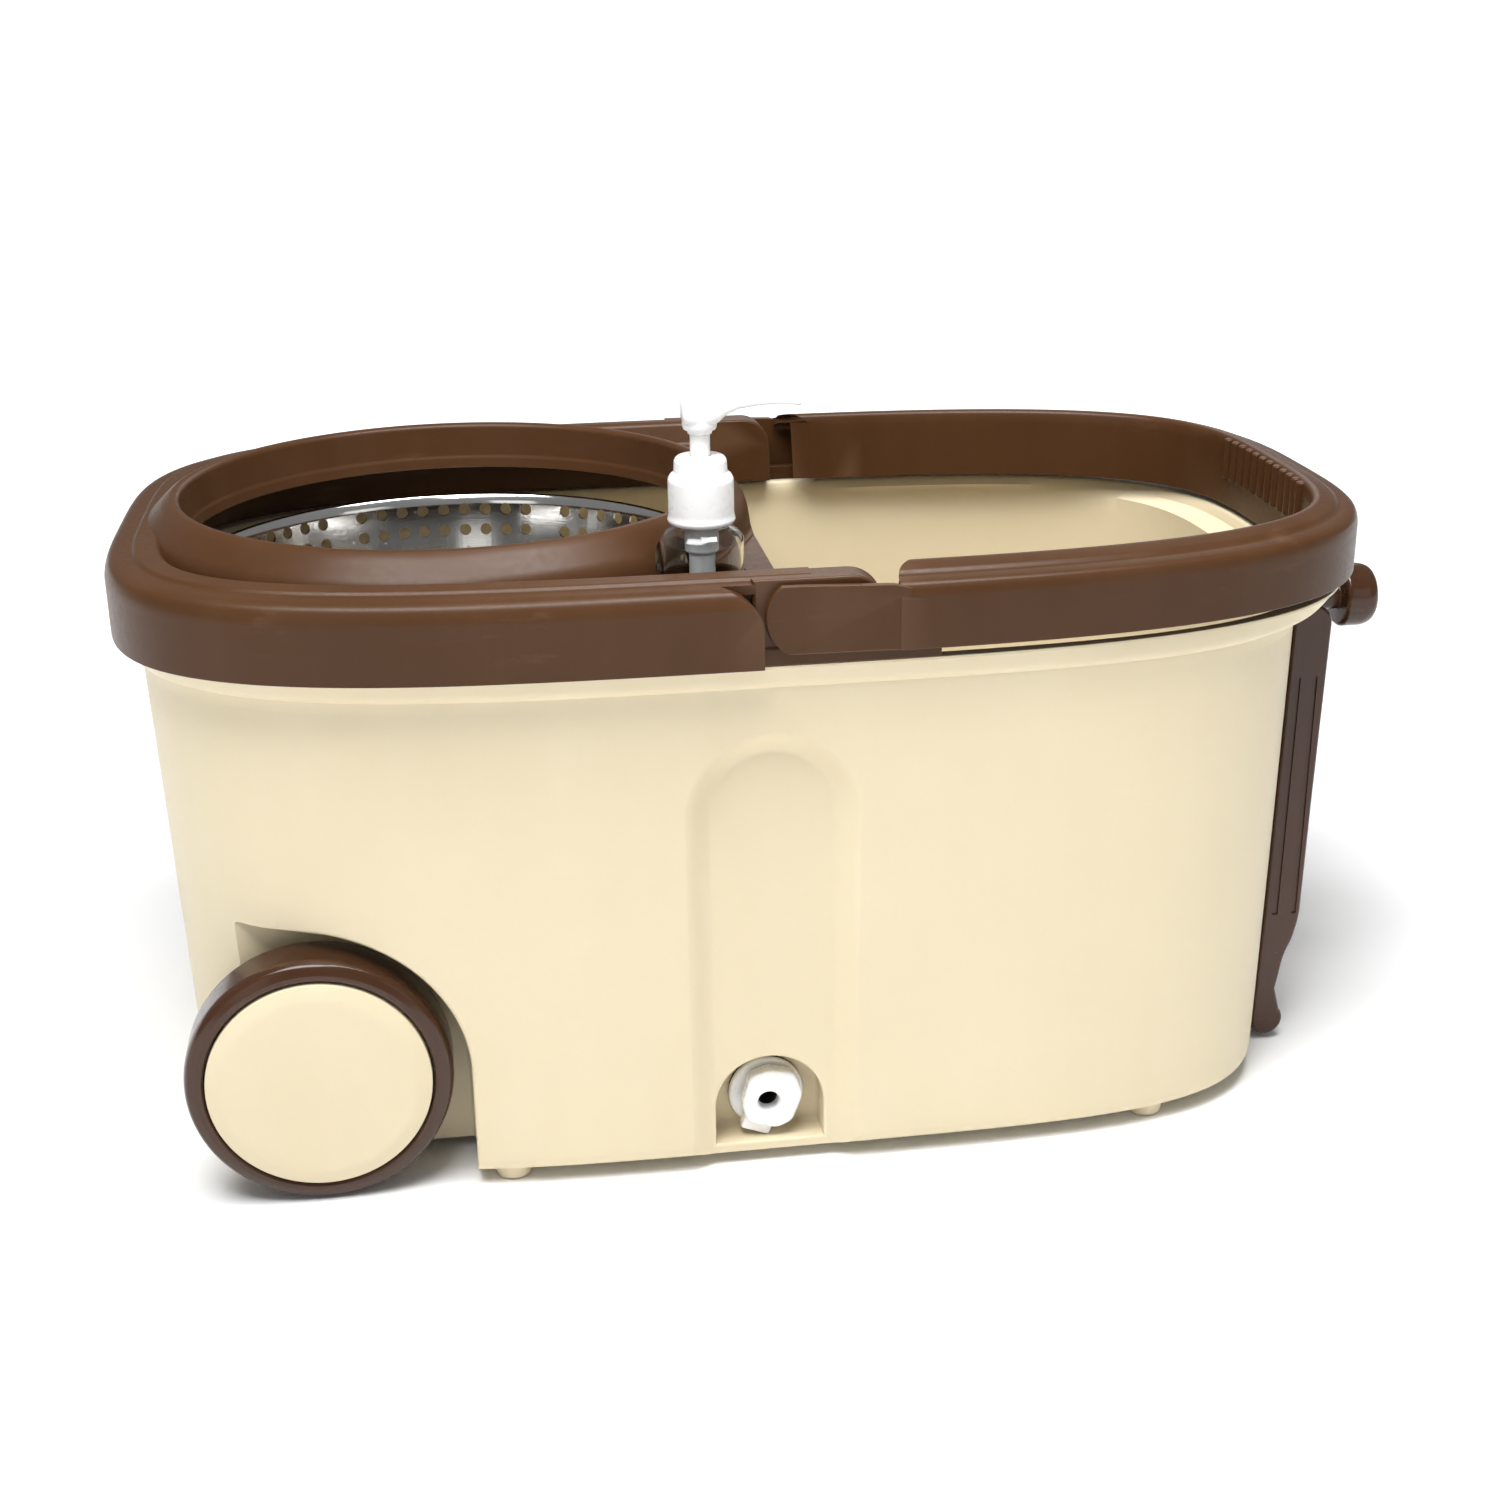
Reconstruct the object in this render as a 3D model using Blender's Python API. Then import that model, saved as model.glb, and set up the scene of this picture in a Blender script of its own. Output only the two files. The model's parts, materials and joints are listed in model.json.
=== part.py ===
# Wheeled spin mop bucket: oval tub, spin cover with collar, steel basket, swing carry
# handle, folding pull handle, two wheels, drain fitting and a lotion pump bottle.
# Metres, +Z up, long side along X, wheels at -X. The origin is under the middle of the
# bounding box at floor level.
import math

import bmesh
import bpy
from mathutils import Matrix

NAME = "spin_mop_bucket"
PLAN_POINTS = 60
MIDDLE_X = -0.022
GAP = 0.0003

# plan outlines: centre x, left reach, right reach, half width, left and right exponents
SKIRT_PLAN = (MIDDLE_X - 0.002, 0.2440, 0.2600, 0.1485, 3.6, 3.2)
RIM_PLAN = (MIDDLE_X - 0.002, 0.2395, 0.2540, 0.1425, 3.6, 3.2)
BODY_TOP_PLAN = (MIDDLE_X, 0.2365, 0.2275, 0.1385, 3.4, 3.9)
BODY_BASE_PLAN = (MIDDLE_X, 0.2305, 0.2195, 0.1365, 3.4, 4.6)
MOUTH_PLAN = (MIDDLE_X - 0.001, 0.2325, 0.2365, 0.1345, 3.5, 3.5)

WALL = 0.0025
BASE_Z = 0.005
FLOOR_Z = 0.008
BODY_TOP_Z = 0.197
LIP_LOW_Z = 0.2030
LEDGE_Z = 0.2110

WHEEL_X = MIDDLE_X - 0.176
WHEEL_R = 0.0507
WHEEL_Z = WHEEL_R
WHEEL_BACK_Y = 0.1090
WHEEL_FACE_Y = 0.1325
WELL_R = 0.0575
WELL_TOP_Z = 0.1080
WELL_WALL_Y = 0.1020
BOSS_IN_Y = 0.0908
BOSS_OUT_Y = 0.1085
AXLE_R = 0.0040
RUN_CLEAR = 0.00005

CHANNEL_X = MIDDLE_X - 0.0015
CHANNEL_HALF = 0.0285
CHANNEL_TOP_Z = 0.1790
CHANNEL_FLOOR_Y = 0.1320
RECESS_X = MIDDLE_X - 0.0030
RECESS_HALF = 0.0215
DRAIN_Z = 0.0250
RECESS_FLOOR_Y = 0.1180
DRAIN_BORE_R = 0.0108

BASKET_X = MIDDLE_X - 0.113
COLLAR_TOP_Z = 0.2516
COLLAR_OPENING_R = 0.1045
DECK_Z = 0.2320
DECK_EDGE_X = MIDDLE_X + 0.007
SKIRT_END_X = MIDDLE_X - 0.0058
SKIRT_LOW_Z = 0.2114
TONGUE_END_X = MIDDLE_X + 0.040
TONGUE_IN_Y = 0.1280
TONGUE_OUT_Y = 0.1414
TONGUE_TOP_Z = 0.2430

BASKET_RIM_R = 0.1105
BASKET_RIM_Z = 0.2185
BASKET_FLOOR_Z = 0.1360
BASKET_SHEET = 0.0008
HOLE_R = 0.0026
HOLE_ROWS_Z = (0.2100,)
HOLE_GROUPS = 7
HOLES_PER_GROUP = 9

PIVOT_X = MIDDLE_X + 0.010
PIVOT_Z = 0.2295
BAIL_START_X = MIDDLE_X + 0.044
BAIL_OUT_Y = 0.1465
BAIL_IN_Y = 0.1435
BAIL_END_R = 0.0150
PIVOT_PIN_R = 0.0045

BOTTLE_X = MIDDLE_X - 0.0214
BOTTLE_Y = -0.0980
BOTTLE_R = 0.0157
BOTTLE_LOW_Z = 0.1865
POCKET_R = 0.0164

HINGE_X = MIDDLE_X + 0.2338
HINGE_Z = 0.1905
ROD_R = 0.0040
ARM_OUT_Y = 0.0700
ARM_IN_Y = 0.0560
GRIP_OFFSET_X = 0.0060
GRIP_R = 0.0072
GRIP_Z = 0.0092
ARM_EYE_R = 0.0082
KNOB_Z = 0.1805
KNOB_FACE_X = 0.2520
KNOB_END_X = 0.2680
KNOB_R = 0.0145


def clear_scene():
    for obj in list(bpy.data.objects):
        bpy.data.objects.remove(obj, do_unlink=True)


def make_collection(name):
    col = bpy.data.collections.new(name)
    bpy.context.scene.collection.children.link(col)
    return col


clear_scene()
PARTS = make_collection(NAME)
CUTTERS = make_collection("cutters")


def make_material(name, colour, roughness, metallic, alpha=1.0):
    mat = bpy.data.materials.new(name)
    mat.use_nodes = True
    shader = mat.node_tree.nodes["Principled BSDF"]
    shader.inputs["Base Color"].default_value = (*colour, 1.0)
    shader.inputs["Roughness"].default_value = roughness
    shader.inputs["Metallic"].default_value = metallic
    shader.inputs["Alpha"].default_value = alpha
    mat.diffuse_color = (*colour, alpha)
    return mat


def cream(name):
    return make_material(name, (0.84, 0.74, 0.52), 0.42, 0.0)


def brown(name):
    return make_material(name, (0.090, 0.040, 0.022), 0.38, 0.0)


def white(name):
    return make_material(name, (0.86, 0.86, 0.84), 0.35, 0.0)


def steel(name):
    return make_material(name, (0.70, 0.70, 0.71), 0.14, 1.0)


def black_rubber(name):
    return make_material(name, (0.02, 0.02, 0.02), 0.75, 0.0)


def clear_plastic(name):
    return make_material(name, (0.92, 0.94, 0.95), 0.08, 0.0, 0.3)


def frosted(name):
    return make_material(name, (0.80, 0.80, 0.79), 0.40, 0.0, 0.6)


def add_object(name, bm, kind=None, smooth=True):
    bmesh.ops.recalc_face_normals(bm, faces=bm.faces)
    mesh = bpy.data.meshes.new(name)
    bm.to_mesh(mesh)
    bm.free()
    if smooth:
        mesh.shade_smooth()
        mesh.set_sharp_from_angle(angle=math.radians(35))
    obj = bpy.data.objects.new(name, mesh)
    if kind is None:
        obj.hide_render = True
        obj.display_type = "WIRE"
        CUTTERS.objects.link(obj)
    else:
        mesh.materials.append(kind(name))
        PARTS.objects.link(obj)
    return obj


def boolean(target, tool, operation):
    mod = target.modifiers.new(tool.name, "BOOLEAN")
    mod.object = tool
    mod.operation = operation
    mod.solver = "EXACT"
    return mod


def cut(target, tool):
    boolean(target, tool, "DIFFERENCE")


def join(target, tool):
    boolean(target, tool, "UNION")


def plan(outline, inset=0.0, count=PLAN_POINTS):
    mid, left, right, half, n_left, n_right = outline
    points = []
    for i in range(count):
        angle = 2.0 * math.pi * (i + 0.5) / count
        c = math.cos(angle)
        s = math.sin(angle)
        power = 2.0 / (n_right if c > 0 else n_left)
        reach = right if c > 0 else left
        x = mid + reach * math.copysign(abs(c) ** power, c)
        y = half * math.copysign(abs(s) ** power, s)
        points.append((x, y))
    if inset == 0.0:
        return points
    moved = []
    for i, (x, y) in enumerate(points):
        before = points[i - 1]
        after = points[(i + 1) % count]
        tx = after[0] - before[0]
        ty = after[1] - before[1]
        size = math.hypot(tx, ty)
        moved.append((x - inset * ty / size, y + inset * tx / size))
    return moved


def blend_plan(a, b, share):
    return tuple(p + (q - p) * share for p, q in zip(a, b))


def set_origin(obj, point):
    """Puts the origin of an object that is drawn in place at a point of its joint axis."""
    obj.data.transform(Matrix.Translation([-v for v in point]))
    obj.location = point


def loft(name, rings, kind=None):
    bm = bmesh.new()
    loops = []
    for points, z in rings:
        loops.append([bm.verts.new((x, y, z)) for x, y in points])
    for low, high in zip(loops, loops[1:]):
        count = len(low)
        for i in range(count):
            j = (i + 1) % count
            bm.faces.new((low[i], low[j], high[j], high[i]))
    bm.faces.new(loops[0])
    bm.faces.new(loops[-1])
    return add_object(name, bm, kind)


def lathe(name, profile, kind=None, segments=48, closed=True, smooth=True):
    bm = bmesh.new()
    verts = [bm.verts.new((r, 0.0, z)) for r, z in profile]
    edges = [bm.edges.new(pair) for pair in zip(verts, verts[1:])]
    if closed:
        edges.append(bm.edges.new((verts[-1], verts[0])))
    bmesh.ops.spin(bm, geom=verts + edges, cent=(0, 0, 0), axis=(0, 0, 1),
                   angle=2.0 * math.pi, steps=segments, use_merge=True)
    bmesh.ops.remove_doubles(bm, verts=bm.verts, dist=0.000001)
    return add_object(name, bm, kind, smooth)


def prism(name, outline, low, high, kind=None, smooth=False):
    """Closed outline in x, y raised from low to high along z."""
    bm = bmesh.new()
    base = [bm.verts.new((x, y, low)) for x, y in outline]
    face = bm.faces.new(base)
    grown = bmesh.ops.extrude_face_region(bm, geom=[face])
    top = [v for v in grown["geom"] if isinstance(v, bmesh.types.BMVert)]
    bmesh.ops.translate(bm, verts=top, vec=(0, 0, high - low))
    return add_object(name, bm, kind, smooth)


def box(name, low, high, kind=None):
    outline = [(low[0], low[1]), (high[0], low[1]), (high[0], high[1]), (low[0], high[1])]
    return prism(name, outline, low[2], high[2], kind)


def arc(cx, cy, radius, start, end, steps):
    points = []
    for i in range(steps + 1):
        a = math.radians(start + (end - start) * i / steps)
        points.append((cx + radius * math.cos(a), cy + radius * math.sin(a)))
    return points


# ---------------------------------------------------------------- tub

def tub_outside():
    rings = [
        (plan(BODY_BASE_PLAN, 0.0060), BASE_Z),
        (plan(BODY_BASE_PLAN, 0.0018), BASE_Z + 0.0020),
        (plan(BODY_BASE_PLAN), BASE_Z + 0.0065),
        (plan(BODY_TOP_PLAN), BODY_TOP_Z),
        (plan(blend_plan(BODY_TOP_PLAN, RIM_PLAN, 0.25)), BODY_TOP_Z + 0.0030),
        (plan(RIM_PLAN, 0.0015), LIP_LOW_Z),
        (plan(RIM_PLAN), LIP_LOW_Z + 0.0012),
        (plan(RIM_PLAN), LEDGE_Z - 0.0012),
        (plan(RIM_PLAN, 0.0012), LEDGE_Z),
    ]
    return loft("tub", rings, cream)


def tub_inside():
    rings = [
        (plan(BODY_BASE_PLAN, WALL + 0.0080), FLOOR_Z),
        (plan(BODY_BASE_PLAN, WALL + 0.0015), FLOOR_Z + 0.0060),
        (plan(BODY_TOP_PLAN, WALL), BODY_TOP_Z - 0.0020),
        (plan(MOUTH_PLAN, 0.0010), LEDGE_Z - 0.0045),
        (plan(MOUTH_PLAN), LEDGE_Z + 0.0050),
    ]
    return loft("tub_hollow", rings)


def well_outline(grow):
    radius = WELL_R + grow
    top = WELL_TOP_Z + grow
    points = [(WHEEL_X - 0.09, -0.02), (WHEEL_X + radius, -0.02)]
    points += arc(WHEEL_X, WHEEL_Z, radius, 0, 84, 12)
    points += [(WHEEL_X - 0.002, top), (WHEEL_X - 0.09, top)]
    return points


def well_cutter(name, side, grow, wall_y):
    outline = well_outline(grow)
    near, far = (-0.19, -wall_y) if side < 0 else (wall_y, 0.19)
    obj = prism(name, outline, -far, -near)
    obj.rotation_euler = (math.pi / 2, 0, 0)
    return obj


def arch_outline(x, half, top, grow, low):
    wide = half + grow
    points = [(x - wide, low), (x + wide, low)]
    points += arc(x, top - half, wide, 0, 180, 16)
    return points


def arch_cutter(name, x, half, top, grow, floor_y, low=-0.02):
    obj = prism(name, arch_outline(x, half, top, grow, low), floor_y, 0.17)
    obj.rotation_euler = (math.pi / 2, 0, 0)
    return obj


def y_cylinder(name, x, z, radius, y0, y1, kind=None, segments=32, hole=0.0):
    length = y1 - y0
    if hole:
        profile = [(hole, 0), (radius, 0), (radius, length), (hole, length)]
        obj = lathe(name, profile, kind, segments)
    else:
        profile = [(0, 0), (radius, 0), (radius, length), (0, length)]
        obj = lathe(name, profile, kind, segments, closed=False)
    obj.rotation_euler = (-math.pi / 2, 0, 0)
    obj.location = (x, y0, z)
    return obj


def x_cylinder(name, y, z, radius, x0, x1, kind=None, segments=32):
    length = x1 - x0
    profile = [(0, 0), (radius, 0), (radius, length), (0, length)]
    obj = lathe(name, profile, kind, segments, closed=False)
    obj.rotation_euler = (0, math.pi / 2, 0)
    obj.location = (x0, y, z)
    return obj


def z_cylinder(name, x, y, radius, z0, z1, kind=None, segments=32):
    profile = [(0, z0), (radius, z0), (radius, z1), (0, z1)]
    obj = lathe(name, profile, kind, segments, closed=False)
    obj.location = (x, y, 0)
    return obj


FEET = {"near_left": (-0.1265, -0.1225), "near_right": (0.1340, -0.1180),
        "far_left": (-0.1265, 0.1225), "far_right": (0.1340, 0.1180)}
FOOT_R = 0.0070


def build_tub():
    tub = tub_outside()
    hollow = tub_inside()
    for side, label in ((-1, "near"), (1, "far")):
        cut(tub, well_cutter("well_" + label, side, 0.0, WELL_WALL_Y))
        cut(hollow, well_cutter("well_skin_" + label, side, WALL, WELL_WALL_Y - WALL))
    cut(tub, arch_cutter("channel", CHANNEL_X, CHANNEL_HALF, CHANNEL_TOP_Z, 0.0,
                         CHANNEL_FLOOR_Y))
    cut(hollow, arch_cutter("channel_skin", CHANNEL_X, CHANNEL_HALF, CHANNEL_TOP_Z, WALL,
                            CHANNEL_FLOOR_Y - WALL))
    recess_top = DRAIN_Z + RECESS_HALF
    cut(tub, arch_cutter("recess", RECESS_X, RECESS_HALF, recess_top, 0.0, RECESS_FLOOR_Y,
                         FLOOR_Z))
    cut(hollow, arch_cutter("recess_skin", RECESS_X, RECESS_HALF, recess_top, WALL,
                            RECESS_FLOOR_Y - WALL))
    cut(tub, hollow)
    cut(tub, y_cylinder("drain_bore", RECESS_X, DRAIN_Z, DRAIN_BORE_R, -0.130, -0.108))
    for label, (x, y) in FEET.items():
        join(tub, z_cylinder("foot_" + label, x, y, FOOT_R, 0.0, 0.0065, segments=20))
    for side, label in ((-1, "near"), (1, "far")):
        y0 = -BOSS_OUT_Y if side < 0 else BOSS_IN_Y
        length = BOSS_OUT_Y - BOSS_IN_Y
        join(tub, y_cylinder("axle_boss_" + label, WHEEL_X, WHEEL_Z, 0.0090, y0,
                             y0 + length, segments=28))
        y0 = -BOSS_OUT_Y - 0.001 if side < 0 else BOSS_IN_Y + 0.0030
        cut(tub, y_cylinder("axle_seat_" + label, WHEEL_X, WHEEL_Z, AXLE_R + GAP, y0,
                            y0 + length - 0.0020, segments=28))
    return tub


# ---------------------------------------------------------------- wheels

def build_wheel(side, label):
    """side is -1 for the near wheel and 1 for the far one; the hub faces outwards."""
    width = WHEEL_FACE_Y - WHEEL_BACK_Y
    bore = AXLE_R + RUN_CLEAR
    tyre_profile = [
        (bore, 0.0), (WHEEL_R - 0.0020, 0.0), (WHEEL_R, 0.0020), (WHEEL_R, width - 0.0055),
        (WHEEL_R - 0.0020, width - 0.0014), (WHEEL_R - 0.0060, width),
        (0.0431, width - 0.0010), (0.0431, width - 0.0110), (0.0115, width - 0.0110),
        (0.0110, width - 0.0080), (bore, width - 0.0080),
    ]
    tyre = lathe("wheel_%s_tyre" % label, tyre_profile, brown, 40)
    cap_profile = [
        (0, width - 0.0038), (0.0425, width - 0.0038), (0.0425, width + 0.0002),
        (0.0370, width + 0.0020), (0, width + 0.0024),
    ]
    cap = lathe("wheel_%s_cap" % label, cap_profile, cream, 40, closed=False)
    head = width - 0.0078
    axle_profile = [
        (0, -0.0145), (AXLE_R, -0.0145), (AXLE_R, head - 0.0002 + 0.0024),
        (0, head - 0.0002 + 0.0024),
    ]
    axle = lathe("wheel_%s_axle" % label, axle_profile, steel, 32, closed=False)
    clip_profile = [
        (AXLE_R + 0.0002, head + 0.0002), (0.0085, head + 0.0002),
        (0.0085, head + 0.0012), (AXLE_R + 0.0002, head + 0.0012),
    ]
    clip = lathe("wheel_%s_retainer" % label, clip_profile, steel, 20)
    for obj in (tyre, cap, axle, clip):
        obj.rotation_euler = (-side * math.pi / 2, 0, 0)
        obj.location = (WHEEL_X, side * WHEEL_BACK_Y, WHEEL_Z)


# ---------------------------------------------------------------- spin cover

def cover_shell():
    d = [(0.0285, 0.2294), (0.0240, 0.2294), (0.0192, 0.2400), (0.0125, 0.2396),
         (0.0060, 0.2376), (0.0032, 0.2345), (0.0028, SKIRT_LOW_Z), (0.0000, SKIRT_LOW_Z),
         (0.0000, 0.2345), (0.0012, 0.2385), (0.0045, 0.2410), (0.0108, 0.2416),
         (0.0122, 0.2434), (0.0190, 0.2438), (0.0212, 0.2425), (0.0258, DECK_Z)]
    rings = [(plan(SKIRT_PLAN, inset), z) for inset, z in d]
    return loft("spin_cover", rings, brown)


def collar_ring():
    profile = [
        (0.1240, 0.2330), (0.1218, 0.2410), (0.1125, 0.2500), (0.1100, COLLAR_TOP_Z),
        (0.1078, 0.2513), (0.1067, 0.2500), (0.1055, 0.2365),
        (COLLAR_OPENING_R, 0.2318), (0.1068, 0.2318), (0.1078, 0.2380), (0.1095, 0.2470),
        (0.1190, 0.2380), (0.1200, 0.2300), (0.1240, 0.2300),
    ]
    ring = lathe("collar", profile, segments=52)
    ring.location = (BASKET_X, 0, 0)
    return ring


def tongue_outline():
    x0 = DECK_EDGE_X - 0.016
    r = 0.0130
    points = [(x0, 0.2130), (TONGUE_END_X, 0.2130)]
    points += arc(TONGUE_END_X - r, TONGUE_TOP_Z - r, r, 0, 90, 8)
    points += [(x0, TONGUE_TOP_Z)]
    return points


def tongue(side, label):
    y = -TONGUE_OUT_Y if side < 0 else TONGUE_IN_Y
    depth = TONGUE_OUT_Y - TONGUE_IN_Y
    obj = prism("tongue_" + label, tongue_outline(), 0.0, depth)
    obj.rotation_euler = (math.pi / 2, 0, 0)
    obj.location = (0, y + depth, 0)
    return obj


def skirt_end(side, label):
    """Everything beyond the round end of the skirt on one long side."""
    x0 = SKIRT_END_X
    outline = [(x0, 0.18), (x0, 0.2260)]
    for i in range(1, 9):
        a = math.radians(90 * i / 8)
        outline.append((x0 - 0.0230 * (1 - math.cos(a)), 0.2260 + 0.0165 * math.sin(a)))
    outline += [(x0 - 0.0230, 0.28), (0.30, 0.28), (0.30, 0.18)]
    obj = prism("skirt_end_" + label, outline, 0.0, 0.20 - TONGUE_OUT_Y)
    obj.rotation_euler = (math.pi / 2, 0, 0)
    obj.location = (0, -TONGUE_OUT_Y if side < 0 else 0.20, 0)
    return obj


def build_cover():
    cover = cover_shell()
    cut(cover, z_cylinder("collar_room", BASKET_X, 0, 0.1180, 0.20, 0.27, segments=52))
    join(cover, collar_ring())
    for side, label in ((-1, "near"), (1, "far")):
        cut(cover, skirt_end(side, label))
    cut(cover, box("basin_side", (DECK_EDGE_X, -TONGUE_IN_Y, 0.18),
                   (0.30, TONGUE_IN_Y, 0.28)))
    cut(cover, box("beyond_tongues", (DECK_EDGE_X + 0.006, -0.20, 0.18),
                   (0.30, 0.20, 0.28)))
    for side, label in ((-1, "near"), (1, "far")):
        join(cover, tongue(side, label))
        low = -TONGUE_OUT_Y + 0.003 if side < 0 else TONGUE_IN_Y + 0.003
        high = -TONGUE_IN_Y - 0.003 if side < 0 else TONGUE_OUT_Y - 0.003
        cut(cover, box("tongue_room_" + label, (DECK_EDGE_X - 0.008, low, 0.20),
                       (TONGUE_END_X - 0.003, high, 0.2395)))
        y0 = -0.150 if side < 0 else 0.135
        cut(cover, y_cylinder("pivot_bore_" + label, PIVOT_X, PIVOT_Z,
                              PIVOT_PIN_R + RUN_CLEAR, y0, y0 + 0.015, segments=32))
    join(cover, z_cylinder("pocket_wall", BOTTLE_X, BOTTLE_Y, POCKET_R + 0.0022,
                           BOTTLE_LOW_Z - 0.0025, DECK_Z + 0.0020, segments=32))
    cut(cover, z_cylinder("pocket", BOTTLE_X, BOTTLE_Y, POCKET_R, BOTTLE_LOW_Z - GAP,
                          0.27, segments=32))
    return cover


# ---------------------------------------------------------------- basket and spindle

def bowl_profile():
    s = BASKET_SHEET
    z = BASKET_RIM_Z
    f = BASKET_FLOOR_Z
    return [
        (0.0120, f), (0.0880, f), (0.0955, f + 0.0060), (0.1060, z - 0.0050),
        (0.1080, z), (BASKET_RIM_R, z), (BASKET_RIM_R, z - 0.0030),
        (BASKET_RIM_R - s, z - 0.0030), (BASKET_RIM_R - s, z - s), (0.1086, z - s),
        (0.1060 + s, z - 0.0056), (0.0955 + s, f + 0.0056), (0.0883, f - s),
        (0.0120, f - s),
    ]


def build_basket():
    bowl = lathe("basket_bowl", bowl_profile(), steel, 52)
    bowl.location = (BASKET_X, 0, 0)
    bm = bmesh.new()
    columns = HOLE_GROUPS * (HOLES_PER_GROUP + 1)
    for row, z in enumerate(HOLE_ROWS_Z):
        for i in range(columns):
            if i % (HOLES_PER_GROUP + 1) == HOLES_PER_GROUP:
                continue
            turn = 2.0 * math.pi * (i + 0.25) / columns
            made = bmesh.ops.create_cone(bm, cap_ends=True, segments=6, radius1=HOLE_R,
                                         radius2=HOLE_R, depth=0.016)
            verts = made["verts"]
            for v in verts:
                x, y, depth = v.co
                out = 0.1035 + depth
                v.co = (out * math.cos(turn) - x * math.sin(turn),
                        out * math.sin(turn) + x * math.cos(turn), z + y)
    holes = add_object("basket_holes", bm)
    holes.location = (BASKET_X, 0, 0)
    cut(bowl, holes)

    f = BASKET_FLOOR_Z
    hub_profile = [
        (0.0072, f - 0.0095), (0.0117, f - 0.0095), (0.0117, f + GAP), (0.0240, f + GAP),
        (0.0240, f + 0.0030), (0.0185, f + 0.0045), (0.0165, f + 0.0140),
        (0.0145, f + 0.0155), (0.0100, f + 0.0155), (0.0100, f + 0.0110),
        (0.0072, f + 0.0110),
    ]
    hub = lathe("basket_hub", hub_profile, brown, 24)
    disc_profile = [
        (0.0120, f - 0.0095), (0.0480, f - 0.0045), (0.0540, f - 0.0030),
        (0.0540, f - 0.0012), (0.0120, f - 0.0012),
    ]
    disc = lathe("basket_base_disc", disc_profile, brown, 28)
    bush_profile = [
        (0.0050 + RUN_CLEAR, f - 0.0095), (0.0069, f - 0.0095), (0.0069, f + 0.0105),
        (0.0050 + RUN_CLEAR, f + 0.0105),
    ]
    bush = lathe("basket_bush", bush_profile, white, 30)
    pin_profile = [
        (0, 0.1000), (0.0050, 0.1000), (0.0050, f + 0.0085), (0.0040, f + 0.0100),
        (0, f + 0.0105),
    ]
    pin = lathe("spindle_pin", pin_profile, steel, 30, closed=False)
    z0 = FLOOR_Z + GAP
    post_profile = [
        (0, z0), (0.0450, z0), (0.0450, z0 + 0.0030), (0.0220, z0 + 0.0080),
        (0.0140, 0.1180), (0.0120, 0.1220), (0.0053, 0.1220), (0.0053, 0.0995), (0, 0.0995),
    ]
    post = lathe("spindle_post", post_profile, brown, 24, closed=False)
    washer_profile = [
        (0.0053, 0.1223), (0.0105, 0.1223), (0.0105, 0.1260), (0.0053, 0.1260),
    ]
    washer = lathe("spindle_washer", washer_profile, white, 24)
    for obj in (hub, disc, bush, pin, post, washer):
        obj.location = (BASKET_X, 0, 0)


# ---------------------------------------------------------------- carry handle

BAIL_SECTION = [
    (0.0020, 0.2160), (0.0024, 0.2350), (0.0038, 0.2388), (0.0070, 0.2405),
    (0.0125, 0.2425), (0.0160, 0.2442), (0.0185, 0.2447), (0.0204, 0.2436),
    (0.0212, 0.2400), (0.0218, 0.2135), (0.0190, 0.2135), (0.0182, 0.2405),
    (0.0120, 0.2392), (0.0070, 0.2372), (0.0052, 0.2345), (0.0050, 0.2160),
]


def bail_path(inset):
    """Points of the skirt plan from the near start, round the right end, to the far one."""
    points = plan(SKIRT_PLAN, inset, 116)
    right = [p for p in points if p[0] > BAIL_START_X + 0.0015]
    right.sort(key=lambda p: math.atan2(p[1], p[0] - BAIL_START_X + 0.02))
    first = (BAIL_START_X, right[0][1])
    last = (BAIL_START_X, right[-1][1])
    chosen = right[1:-1:2]
    return [first] + chosen + [last]


def bail_channel():
    bm = bmesh.new()
    columns = []
    paths = [bail_path(inset) for inset, z in BAIL_SECTION]
    count = min(len(p) for p in paths)
    for i in range(count):
        share = i / (count - 1)
        ring = []
        for (inset, z), path in zip(BAIL_SECTION, paths):
            k = share * (len(path) - 1)
            a = min(int(k), len(path) - 2)
            t = k - a
            x = path[a][0] + (path[a + 1][0] - path[a][0]) * t
            y = path[a][1] + (path[a + 1][1] - path[a][1]) * t
            ring.append(bm.verts.new((x, y, z)))
        columns.append(ring)
    size = len(BAIL_SECTION)
    for a, b in zip(columns, columns[1:]):
        for i in range(size):
            j = (i + 1) % size
            bm.faces.new((a[i], a[j], b[j], b[i]))
    bm.faces.new(columns[0])
    bm.faces.new(columns[-1])
    return add_object("carry_handle", bm, brown)


def bail_plate_outline():
    points = arc(PIVOT_X, PIVOT_Z, BAIL_END_R, 125, 244, 14)
    points += [(BAIL_START_X + 0.010, 0.2160), (BAIL_START_X + 0.010, 0.2388),
               (BAIL_START_X - 0.004, 0.2414)]
    return points


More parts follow.
